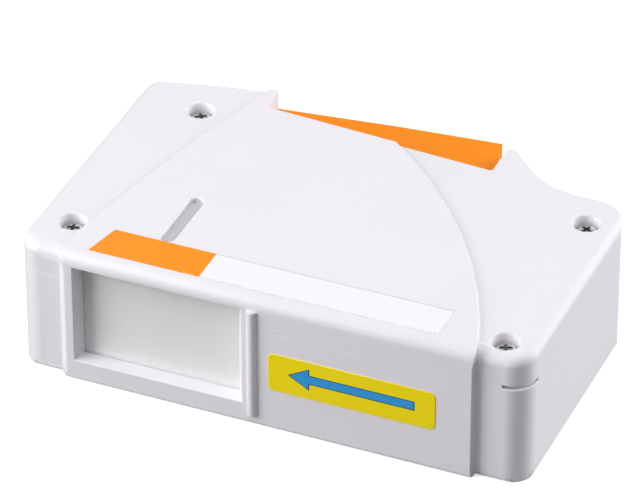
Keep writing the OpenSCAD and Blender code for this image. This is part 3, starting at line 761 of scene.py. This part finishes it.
def panel_dashes(tree):
    """Short raised dashes in rows along the raised panel's top, and nowhere else."""
    dash_length, row_step, most_shift, bare_share = 2.1, 1.25, 7.0, 0.6
    end_fade, core, edge = 0.06, 0.08, 0.2
    x, y, z = put(tree, "SeparateXYZ", {0: spot_in_mm(tree)})[:3]
    row = work_out(tree, "DIVIDE", y, row_step)
    row_number = work_out(tree, "FLOOR", row)
    shift = put(tree, "TexWhiteNoise", {"W": row_number}, noise_dimensions="1D")[0]
    run = add_shares(tree, work_out(tree, "DIVIDE", x, dash_length), (shift, most_shift))
    cell = put(tree, "CombineXYZ", {0: work_out(tree, "FLOOR", run), 1: row_number})[0]
    luck, colour = put(tree, "TexWhiteNoise", {"Vector": cell}, noise_dimensions="2D")[:2]
    chances = put(tree, "SeparateColor", {0: colour})
    in_cell = work_out(tree, "FRACT", run)
    start = times(tree, chances[1], 0.4)
    end = add_shares(tree, 0.5, (chances[2], 0.35))
    along = times(
        tree,
        ramp(tree, work_out(tree, "SUBTRACT", in_cell, start), 0.0, end_fade),
        ramp(tree, work_out(tree, "SUBTRACT", end, in_cell), 0.0, end_fade),
    )
    off_line = work_out(tree, "SUBTRACT", work_out(tree, "FRACT", row), 0.5)
    across = ramp(tree, work_out(tree, "ABSOLUTE", off_line), core, edge, 1.0, 0.0)
    there = work_out(tree, "GREATER_THAN", luck, bare_share)
    on_top = work_out(tree, "GREATER_THAN", z, PANEL_TOP_Z - 0.06)
    return times(tree, times(tree, along, across), times(tree, there, on_top))


def white_shell_material():
    material, tree, shader, height, colour = moulded_plastic(
        "white_shell",
        (0.85, 0.825, 0.875),
        (0.81, 0.79, 0.83),
        (0.88, 0.865, 0.9),
        0.33,
        grain=4.0,
        handling=0.55,
        wear=0.5,
    )
    dash = panel_dashes(tree)
    # The dashes are painted lighter, a painted highlight on their raised tops
    dash_painted_highlight = mix_colours(tree, times(tree, dash, 0.4), colour, (0.92, 0.91, 0.94, 1))
    join(tree, dash_painted_highlight, shader, "Base Color")
    raise_bump(tree, shader, add_shares(tree, height, (dash, 6.0)), GRAIN_DEPTH)
    return material


def metal_material(name, colour, dark, roughness):
    """Turned or drawn metal, with rings round its axis and dull spots."""
    material, tree, shader = new_material(name, Metallic=1.0)
    turned = use_group(tree, RINGS, {"Rings per mm": 7.0})
    marks = handled_tone(tree, colour, dark, 0.6)
    join(tree, marks["Colour"], shader, "Base Color")
    dull = add_shares(tree, roughness, (marks["Dullness"], 0.2), (turned["Ring tone"], 0.08))
    join(tree, dull, shader, "Roughness")
    raise_bump(tree, shader, turned["Height"], 0.003)
    return material


def label_material(name, colour, faded, roughness):
    """A printed vinyl label: even ink, a fine orange peel of varnish, paler rubbed edges."""
    material, tree, shader = new_material(name, Specular_IOR_Level=0.25)
    marks = handled_tone(tree, colour, faded, 0.5)
    worn = worn_edges(tree, marks["Colour"], faded, 0.8)
    join(tree, worn["Colour"], shader, "Base Color")
    peel = use_group(tree, GRAIN, {"Grains per mm": 1.6, "Waviness": 0.8})
    scratch = use_group(tree, SCRATCHES, {"Length": 8.0})["Scratch"]
    dull = add_shares(tree, roughness, (marks["Dullness"], 0.1), (scratch, 0.12))
    join(tree, dull, shader, "Roughness")
    raise_bump(tree, shader, peel["Height"], 0.003)
    return material


def title_label_material():
    """The pale strip, with a grey line painted along its back edge as the painted shadow of the
    label's edge.
    """
    material = label_material("white_label", (0.90, 0.885, 0.92), (0.87, 0.86, 0.88), 0.35)
    tree = material.node_tree
    shader = tree.nodes["Principled BSDF"]
    plain = shader.inputs["Base Color"].links[0].from_socket
    y = put(tree, "SeparateXYZ", {0: spot_in_mm(tree)})[1]
    # A grey line along the back edge: painted shadow of the label's edge
    edge_shadow_line = ramp(tree, y, TITLE_BACK_Y - 0.28, TITLE_BACK_Y - 0.16)
    join(tree, mix_colours(tree, edge_shadow_line, plain, (0.55, 0.54, 0.56, 1)), shader, "Base Color")
    return material


def tape_material(name, colour, shade, wound_up=False):
    """Woven cleaning tape, painted darker in the low places of its weave as painted shade. A roll
    also shows the edges of its turns.
    """
    material, tree, shader = new_material(name, Sheen_Weight=0.25, Sheen_Roughness=0.5)
    cloth = use_group(tree, WEAVE, {"Threads per mm": 5.0})
    height, tone = cloth["Height"], cloth["Weave shade tone"]
    if wound_up:
        wound = use_group(tree, RINGS, {"Rings per mm": 5.0})
        up = put(tree, "SeparateXYZ", {0: put(tree, "TexCoord")["Normal"]})[2]
        on_end = ramp(tree, work_out(tree, "ABSOLUTE", up), 0.6, 0.9)
        tone = mix_values(tree, on_end, tone, wound["Ring tone"])
        height = mix_values(tree, on_end, height, wound["Height"])
    marks = handled_tone(tree, colour, shade, 0.3)
    # Painted shade: the weave's low places go toward the darker colour; on a roll's ends the rings'
    # random tone takes their place
    shaded = add_shares(tree, 0.5, (tone, -0.5))
    join(tree, mix_colours(tree, shaded, marks["Colour"], (*shade, 1)), shader, "Base Color")
    join(tree, add_shares(tree, 0.75, (marks["Dullness"], 0.1)), shader, "Roughness")
    raise_bump(tree, shader, height, 0.03)
    return material


def felt_material():
    material, tree, shader = new_material("felt", Sheen_Weight=0.5, Sheen_Roughness=0.6)
    fibres = noise(tree, 6.0, 6.0)
    tone = ramp(tree, fibres, 0.3, 0.7)
    wool = mix_colours(tree, tone, (0.16, 0.11, 0.06, 1), (0.4, 0.3, 0.18, 1))
    join(tree, wool, shader, "Base Color")
    join(tree, ramp(tree, fibres, 0.2, 0.8, 0.85, 1.0), shader, "Roughness")
    raise_bump(tree, shader, fibres, 0.08)
    return material


def arrow_ink_material(name, colour, edge_colour):
    """Screen printed ink, a little thinner in places."""
    material, tree, shader = new_material(name)
    thin = noise(tree, 2.2, 4.0)
    ink = mix_colours(tree, ramp(tree, thin, 0.45, 0.75), (*colour, 1), (*edge_colour, 1))
    join(tree, ink, shader, "Base Color")
    join(tree, ramp(tree, thin, 0.3, 0.8, 0.4, 0.52), shader, "Roughness")
    raise_bump(tree, shader, use_group(tree, GRAIN, {"Grains per mm": 3.0})["Height"], 0.002)
    return material


MATERIALS = {
    "white_shell": white_shell_material(),
    "orange_plastic": plain_moulded(
        "orange_plastic", (0.96, 0.268, 0.002), (0.89, 0.245, 0.004), (0.98, 0.335, 0.03), 0.4,
        grain=4.0,
    ),
    "grey_plastic": plain_moulded(
        "grey_plastic", (0.86, 0.865, 0.86), (0.81, 0.81, 0.80), (0.88, 0.88, 0.88), 0.45,
        grain=3.0, handling=0.6,
    ),
    "dark_plastic": plain_moulded(
        "dark_plastic", (0.022, 0.022, 0.026), (0.045, 0.044, 0.044), (0.1, 0.1, 0.1), 0.45,
    ),
    "clear_white_plastic": plain_moulded(
        "clear_white_plastic", (0.68, 0.71, 0.73), (0.62, 0.64, 0.64), (0.8, 0.82, 0.83), 0.3,
        Subsurface_Weight=0.15, Subsurface_Scale=0.002,
    ),
    "frosted_plastic": plain_moulded(
        "frosted_plastic", (0.70, 0.685, 0.70), (0.65, 0.64, 0.65), (0.78, 0.77, 0.78), 0.5,
        grain=7.0, Transmission_Weight=0.15,
    ),
    "steel": metal_material("steel", (0.62, 0.62, 0.63), (0.45, 0.44, 0.43), 0.28),
    "nickel": metal_material("nickel", (0.80, 0.79, 0.78), (0.42, 0.41, 0.40), 0.16),
    "pad_rubber": plain_moulded(
        "pad_rubber", (0.05, 0.055, 0.06), (0.1, 0.105, 0.11), (0.14, 0.14, 0.15), 0.7, grain=2.5,
        depth=0.02,
    ),
    "felt": felt_material(),
    "yellow_label": label_material("yellow_label", (1.0, 0.79, 0.0), (1.0, 0.82, 0.02), 0.4),
    "orange_label": label_material("orange_label", (0.95, 0.29, 0.015), (0.95, 0.34, 0.04), 0.4),
    "white_label": title_label_material(),
    "tape": tape_material("tape", (0.78, 0.81, 0.86), (0.52, 0.56, 0.64)),
}
# A darker metal for the screws' cross recesses: painted shade in the hollow
SCREW_RECESS_SHADE = metal_material("screw_recess_painted_shade", (0.30, 0.29, 0.285), (0.2, 0.195, 0.19), 0.3)
NEW_TAPE_ROLL = tape_material("tape_new_wound", (0.78, 0.81, 0.86), (0.52, 0.56, 0.64), True)
USED_TAPE_ROLL = tape_material("tape_used_wound", (0.70, 0.72, 0.74), (0.44, 0.46, 0.5), True)
BLUE_INK = arrow_ink_material("blue_ink", (0.022, 0.33, 0.78), (0.05, 0.40, 0.80))
DARK_INK = arrow_ink_material("dark_ink", (0.02, 0.10, 0.16), (0.04, 0.14, 0.2))


def paint(piece, material):
    piece.data.materials.clear()
    piece.data.materials.append(material)


# ---- screws

# A pan head's outline from its underside to near its top, as shares of its radius and height
PAN_PROFILE = (
    (0.96, 0), (1, 0.1), (1, 0.35), (0.965, 0.6), (0.88, 0.8), (0.72, 0.93), (0.5, 0.985),
)
# Half the cross recess's length and width above the head, as a share of the whole
RECESS_SPREAD = 0.56
# Sides of a shank, and rows of its mesh for each turn of the thread
THREAD_SIDES = 20
THREAD_ROWS = 5


def thread_form(form, centre, radius, low, high, pitch):
    """An upright screw shank with a helical thread and a short point."""
    depth = radius * 0.2
    rows = int((high - low) / pitch * THREAD_ROWS)
    rings = []
    for row in range(rows + 1):
        z = low + (high - low) * row / rows
        taper = min(1.0, 0.35 + (z - low) / 1.6)
        ring = []
        for k, (c, s) in enumerate(circle(THREAD_SIDES)):
            phase = (z / pitch - k / THREAD_SIDES) % 1.0
            r = (radius - depth * min(1.0, abs(phase - 0.5) * 2.6)) * taper
            ring.append(form.verts.new(mm(centre[0] + r * c, centre[1] + r * s, z)))
        rings.append(ring)
    close_tube(form, rings)


def recess_cutter(name, angle, head_h, length, width, deep):
    """One bar of a cross recess, whose sides close in towards its floor."""
    form = bmesh.new()
    rings = []
    for z, half_l, half_w in (
        (head_h - deep, length * 0.22, width * 0.3),
        (head_h + 0.3, length * RECESS_SPREAD, width * RECESS_SPREAD),
    ):
        corners = (-half_l, -half_w), (half_l, -half_w), (half_l, half_w), (-half_l, half_w)
        rings.append([form.verts.new(mm(x, y, z)) for x, y in corners])
    close_tube(form, rings)
    bmesh.ops.rotate(
        form, cent=(0, 0, 0), matrix=Matrix.Rotation(angle, 3, "Z"), verts=form.verts
    )
    return in_scene(name, mesh_from(name, form))


def crossed_head(name, head_r, head_h, drive):
    """A pan head with a tapered cross recess, standing on the origin."""
    form = bmesh.new()
    rims = [(head_r * out, head_h * up) for out, up in PAN_PROFILE]
    lathed(form, [(0, 0), *rims, (0, head_h)])
    head = in_scene(name, mesh_from(name, form))
    cutters = [
        recess_cutter(f"{name}_cutter_{k}", angle, head_h, *drive)
        for k, angle in enumerate((0, math.pi / 2))
    ]
    for cutter in cutters:
        cut = head.modifiers.new("recess", "BOOLEAN")
        cut.operation = "DIFFERENCE"
        cut.solver = "EXACT"
        cut.object = cutter
    apply_modifiers(head)
    mesh = head.data
    for each in (head, *cutters):
        bpy.data.objects.remove(each)
    return mesh


def add_screws(node, metal, places, *, head_z, head_r, head_h, shank_r, shank_l, drive, pitch):
    """All the cross head screws of a node as one piece, each turned to its own angle.

    drive is the length, width and depth of the recess, which gets a darker metal as painted shade.
    """
    head = crossed_head(node + "_head", head_r, head_h, drive)
    form = bmesh.new()
    for x, y, angle in places:
        turned = head.copy()
        turned.transform(
            Matrix.Translation(mm(x, y, head_z)) @ Matrix.Rotation(math.radians(angle), 4, "Z")
        )
        form.from_mesh(turned)
        bpy.data.meshes.remove(turned)
        thread_form(form, (x, y), shank_r, head_z - shank_l, head_z + 0.02, pitch)
    name = node + "_crossed"
    piece = add_piece(name, mesh_from(name, form), node)
    even_normals(piece, 30)
    centres = [place[:2] for place in places]
    mark_from_axis(piece.data, *centres)
    paint(piece, metal)
    # The recess faces take the darker metal, painted shade in the cross
    piece.data.materials.append(SCREW_RECESS_SHADE)
    length, _, deep = drive
    for face in piece.data.polygons:
        spot = face.center / MM
        off = min((spot.xy - Vector(centre)).length for centre in centres)
        sunk = spot.z < head_z + head_h - deep * 0.8 or face.normal.z < 0.7
        if off < length * RECESS_SPREAD and sunk and spot.z > head_z + 0.1:
            face.material_index = 1


# ---- springs, tape and rollers


def way_along(path, k):
    """From the point before this one to the point after it."""
    return path[min(k + 1, len(path) - 1)] - path[max(k - 1, 0)]


def round_wire(path, radius):
    """A round wire along a path of points, with closed ends."""
    sides = 12
    form = bmesh.new()
    rings = []
    side = Vector((0, 0, 1))
    for k, point in enumerate(path):
        ahead = way_along(path, k).normalized()
        side = (side - ahead * side.dot(ahead)).normalized()
        other = ahead.cross(side)
        rings.append([
            form.verts.new((point + side * radius * c + other * radius * s) * MM)
            for c, s in circle(sides)
        ])
    close_tube(form, rings)
    bmesh.ops.recalc_face_normals(form, faces=form.faces)
    return form


def add_lever_spring():
    """The torsion spring: a straight leg, four and a half turns round the lever's waist, a leg."""
    coil_r, wire_r, low, turns, pitch, leg, per_turn = 3.7, 0.4, 12.0, 4.5, 1.1, 12.0, 36
    rise = turns * pitch
    count = int(turns * per_turn)
    points = [Vector((-leg * s / 4, -coil_r, 0)) for s in (4, 3, 2, 1)]
    for k in range(count + 1):
        a = math.radians(-90 - 360 * k / per_turn)
        points.append(Vector((coil_r * math.cos(a), coil_r * math.sin(a), rise * k / count)))
    points += [Vector((leg * s / 4, coil_r, rise)) for s in (1, 2, 3, 4)]
    hub = Vector((*LEVER_HUB, low))
    name = "lever_spring_wire"
    form = round_wire([hub + p for p in points], wire_r)
    wire = add_piece(name, mesh_from(name, form), "lever_spring", rides=False)
    even_normals(wire, 40)
    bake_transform(wire)
    return wire


def polar(centre, radius, degrees):
    a = math.radians(degrees)
    return Vector((centre[0] + radius * math.cos(a), centre[1] + radius * math.sin(a)))


def mark_from_axis(mesh, *centres):
    """Stores how far each point is from the nearest of these upright axes, for turned rings."""
    distance = mesh.attributes.new("from_axis", "FLOAT", "POINT")
    for vertex in mesh.vertices:
        place = vertex.co.xy / MM
        distance.data[vertex.index].value = min((place - Vector(c)).length for c in centres) * MM


def mark_round_axis(mesh, centre):
    """Stores how far each corner is round an upright axis, so that a roll's weave follows it."""
    along = mesh.attributes.new("along_tape", "FLOAT", "CORNER")
    for face in mesh.polygons:
        middle = face.center.xy / MM - Vector(centre)
        start = math.atan2(middle.y, middle.x)
        for corner in face.loop_indices:
            place = mesh.vertices[mesh.loops[corner].vertex_index].co.xy / MM - Vector(centre)
            turn = math.atan2(place.y, place.x) - start
            turn -= math.tau * round(turn / math.tau)
            along.data[corner].value = (start + turn) * place.length * MM


def tape_path():
    """The tape's middle line, from the full roll over both rollers to the other roll."""
    straight_parts, bend_parts = 8, 9
    left, right = GUIDES
    path = []
    straight = [
        (polar(SUPPLY, SUPPLY_R, 180), polar(left, GUIDE_R, 180)),
        (polar(left, GUIDE_R, 270), polar(right, GUIDE_R, 270)),
        (polar(right, GUIDE_R, TAKE_UP_TANGENT), polar(TAKE_UP, TAKE_UP_R, TAKE_UP_TANGENT)),
    ]
    bends = [(left, 180, 270), (right, 270, 360 + TAKE_UP_TANGENT)]
    for k, (start, end) in enumerate(straight):
        path += [start.lerp(end, s / straight_parts) for s in range(straight_parts + 1)]
        if k < len(bends):
            centre, first, last = bends[k]
            path += [
                polar(centre, GUIDE_R, first + (last - first) * s / bend_parts)
                for s in range(1, bend_parts)
            ]
    return path


def add_tape():
    """The stretched run of tape, woven along its own length and slack by a hair at its edges."""
    path = tape_path()
    low, high = TAPE_Z
    rows, curl = 8, 0.02
    form = bmesh.new()
    along = form.verts.layers.float.new("along_tape")
    sides = []
    for offset in (-TAPE_THICK / 2, TAPE_THICK / 2):
        grid, gone = [], 0.0
        for k, point in enumerate(path):
            ahead = way_along(path, k)
            across = Vector((ahead.y, -ahead.x)).normalized()
            gone += (point - path[k - 1]).length if k else 0
            column = []
            for row in range(rows + 1):
                share = row / rows
                place = point + across * (offset - curl * (2 * share - 1) ** 4)
                vertex = form.verts.new(mm(place.x, place.y, low + (high - low) * share))
                vertex[along] = gone * MM
                column.append(vertex)
            grid.append(column)
        sides.append(grid)
    for grid in sides:
        for a, b in zip(grid, grid[1:]):
            for row in range(rows):
                form.faces.new((a[row], b[row], b[row + 1], a[row + 1]))
    inner, outer = sides
    last = len(path) - 1
    for k in range(last):
        for row in (0, rows):
            form.faces.new((inner[k][row], inner[k + 1][row], outer[k + 1][row], outer[k][row]))
    for row in range(rows):
        for k in (0, last):
            form.faces.new((inner[k][row], inner[k][row + 1], outer[k][row + 1], outer[k][row]))
    bmesh.ops.recalc_face_normals(form, faces=form.faces)
    tape = add_piece("cleaning_tape", mesh_from("cleaning_tape", form), "tape_run")
    even_normals(tape, 50)
    return tape


# ---- printed arrow


def rounded(points, radius):
    """An outline of (x, y) points with each corner rounded by radius."""
    steps = 3
    outline = []
    for k, point in enumerate(points):
        here = Vector(point)
        before = (Vector(points[k - 1]) - here).normalized()
        after = (Vector(points[(k + 1) % len(points)]) - here).normalized()
        half = before.angle(after) / 2
        reach = min(radius / math.tan(half), radius * 3)
        first, last = here + before * reach, here + after * reach
        for s in range(steps + 1):
            t = s / steps
            outline.append(first.lerp(here, t).lerp(here.lerp(last, t), t))
    return outline


def arrow_outline(grow):
    """The arrow that points to the window, as (x, z) on the front, grown all round by grow."""
    tip, head_x, end_x, middle = 5.44, 9.94, 33.4, 14.97
    head_half, shaft_half = 2.58, 1.04
    slope = math.hypot(head_x - tip, head_half) / head_half
    barb = grow * 1.35
    return [
        (tip - grow * slope, middle),
        (head_x + grow, middle - head_half - barb),
        (head_x + grow, middle - shaft_half - grow),
        (end_x + grow, middle - shaft_half - grow),
        (end_x + grow, middle + shaft_half + grow),
        (head_x + grow, middle + shaft_half + grow),
        (head_x + grow, middle + head_half + barb),
    ]


def add_arrow():
    """The blue arrow and its dark border, printed as two thin layers on the yellow label."""
    face = FRONT_Y - LABEL_THICK
    border, corner_r = 0.12, 0.12
    for name, grow, near, material in (
        ("arrow_border", border, 0.02, DARK_INK),
        ("arrow_fill", -border, 0.035, BLUE_INK),
    ):
        form = bmesh.new()
        outline = rounded(arrow_outline(grow), corner_r)
        close_tube(form, [
            [form.verts.new(mm(x, y, z)) for x, z in outline] for y in (face - near, face + 0.01)
        ])
        bmesh.ops.recalc_face_normals(form, faces=form.faces)
        arrow = add_piece(
            name, mesh_from(name, form), body=BODY_OF["direction_label"]
        )
        paint(arrow, material)


# ---- the pieces

# How far the edges of each piece inside the case, and of each label, are rounded
PLAIN_EDGES = {
    "mechanism_deck": 0.12,
    "shutter": 0.25,
    "shutter_arm": 0.1,
    "lever_pin": 0.2,
    "drive_pawl": 0.12,
    "stop_pawl": 0.12,
    "supply_reel": 0.14,
    "take_up_reel": 0.12,
    "reel_clips": 0.1,
    "brake_washer": 0.06,
    "pad_holder": 0.15,
    "cleaning_pad": 0.4,
    "guide_pins": 0.2,
    "left_guide_roller": 0.15,
    "right_guide_roller": 0.15,
    "sight_window": 0.12,
    "type_label": 0.05,
    "title_strip": 0.05,
    "direction_label": 0.05,
    "supply_roll": 0.15,
    "take_up_roll": 0.15,
}
# The upright axes that a lathe's marks or a roll's turns run round
TURNED = {
    "lever_pin": (LEVER_HUB,),
    "guide_pins": GUIDES,
    "supply_roll": (SUPPLY,),
    "take_up_roll": (TAKE_UP,),
}
WOUND = {"supply_roll": NEW_TAPE_ROLL, "take_up_roll": USED_TAPE_ROLL}

for node, edge in PLAIN_EDGES.items():
    piece = moulded(node, edge)
    paint(piece, WOUND.get(node) or MATERIALS[SLOT_OF[node]])
    if node in TURNED:
        mark_from_axis(piece.data, *TURNED[node])
    if node in WOUND:
        mark_round_axis(piece.data, *TURNED[node])
for node in ("bottom_case", "top_cover"):
    shell = moulded(node, 0.22, seam_edge=0.07, outer_only=True)
    paint(shell, MATERIALS[SLOT_OF[node]])
paint(moulded("lever", 0.3, outer_only=True), MATERIALS["orange_plastic"])

add_screws(
    "case_screws", MATERIALS["nickel"], CASE_SCREWS, head_z=28.2, head_r=2.35, head_h=1.5,
    shank_r=1.15, shank_l=18, drive=(2.8, 0.7, 1.1), pitch=0.9,
)
add_screws(
    "deck_screws", MATERIALS["steel"], DECK_SCREWS, head_z=6.6, head_r=1.9, head_h=1.0,
    shank_r=0.9, shank_l=4, drive=(2.28, 0.56, 0.6), pitch=0.7,
)
paint(add_lever_spring(), MATERIALS["steel"])
paint(add_tape(), MATERIALS["tape"])
add_arrow()


# ---- floor, light and camera

# The paper's own glow to the camera, and how far it lies under the base, in millimetres, so that
# the two don't share a plane
FLOOR_GLOW = 0.42
FLOOR_DROP = 0.05
# Name, azimuth and elevation in degrees, distance and size in metres, brightness, seen in gloss
SOFTBOXES = (
    ("left_front", -54, 24, 0.9, 0.6, 0.91, True),
    ("right_back", 128, 20, 1.1, 0.8, 1.12, False),
    ("overhead", 0, 74, 1.0, 0.6, 0.42, False),
)


def add_floor():
    """Pale paper under the cassette, which the camera sees brighter than it lights."""
    form = bmesh.new()
    bmesh.ops.create_grid(form, x_segments=1, y_segments=1, size=3)
    floor = in_scene("floor", mesh_from("floor", form))
    floor.location.z = -FLOOR_DROP * MM
    material, tree, shader = new_material("floor_paper", Roughness=0.9, Specular_IOR_Level=0.1)
    seen = put(tree, "LightPath")["Is Camera Ray"]
    fibres = noise(tree, 0.02, 4.0)
    bounced = mix_colours(tree, fibres, (0.28, 0.28, 0.28, 1), (0.31, 0.31, 0.31, 1))
    join(tree, mix_colours(tree, seen, bounced, (0.95, 0.95, 0.95, 1)), shader, "Base Color")
    shader.inputs["Emission Color"].default_value = (1, 1, 1, 1)
    join(tree, times(tree, seen, FLOOR_GLOW), shader, "Emission Strength")
    paint(floor, material)


def direction(azimuth, elevation):
    a, e = math.radians(azimuth), math.radians(elevation)
    return Vector((math.sin(a) * math.cos(e), -math.cos(a) * math.cos(e), math.sin(e)))


def add_softbox(name, azimuth, elevation, distance, size, brightness, in_gloss):
    """A square soft light on this side and height that lights paper to brightness."""
    way = direction(azimuth, elevation)
    data = bpy.data.lights.new(name, "AREA")
    data.shape = "SQUARE"
    data.size = size
    data.energy = brightness * (math.pi * distance) ** 2
    light = in_scene(name, data)
    light.location = way * distance
    light.rotation_euler = way.to_track_quat("Z", "Y").to_euler()
    light.visible_glossy = in_gloss


def add_world(strength, reflected):
    """White paper all round, which shows brighter in gloss than it lights."""
    world = bpy.data.worlds.new("studio")
    scene.world = world
    world.use_nodes = True
    tree = world.node_tree
    sky = tree.nodes["Background"]
    sky.inputs["Color"].default_value = (1, 1, 1, 1)
    lights = put(tree, "LightPath")["Is Diffuse Ray"]
    tree.links.new(mix_values(tree, lights, reflected, strength), sky.inputs["Strength"])


def add_camera():
    """The camera that was fitted to the photograph."""
    back = direction(CAMERA_AZIMUTH, CAMERA_ELEVATION)
    level = Vector((0, 0, 1)).cross(back).normalized()
    upright = back.cross(level)
    roll = math.radians(CAMERA_ROLL)
    right = level * math.cos(roll) + upright * math.sin(roll)
    up = upright * math.cos(roll) - level * math.sin(roll)
    place = (right * CAMERA_SIDE + up * CAMERA_RISE + back * CAMERA_DISTANCE) * MM
    place.y += FRONT_Y * MM
    data = bpy.data.cameras.new("camera")
    data.lens = CAMERA_LENS
    data.sensor_width = 36
    data.clip_end = 20
    camera = in_scene("camera", data)
    turned = Matrix((right, up, back)).transposed().to_4x4()
    camera.matrix_world = Matrix.Translation(place) @ turned
    scene.camera = camera


add_floor()
add_world(strength=0.08, reflected=0.5)
for softbox in SOFTBOXES:
    add_softbox(*softbox)
add_camera()
scene.view_settings.view_transform = "Standard"
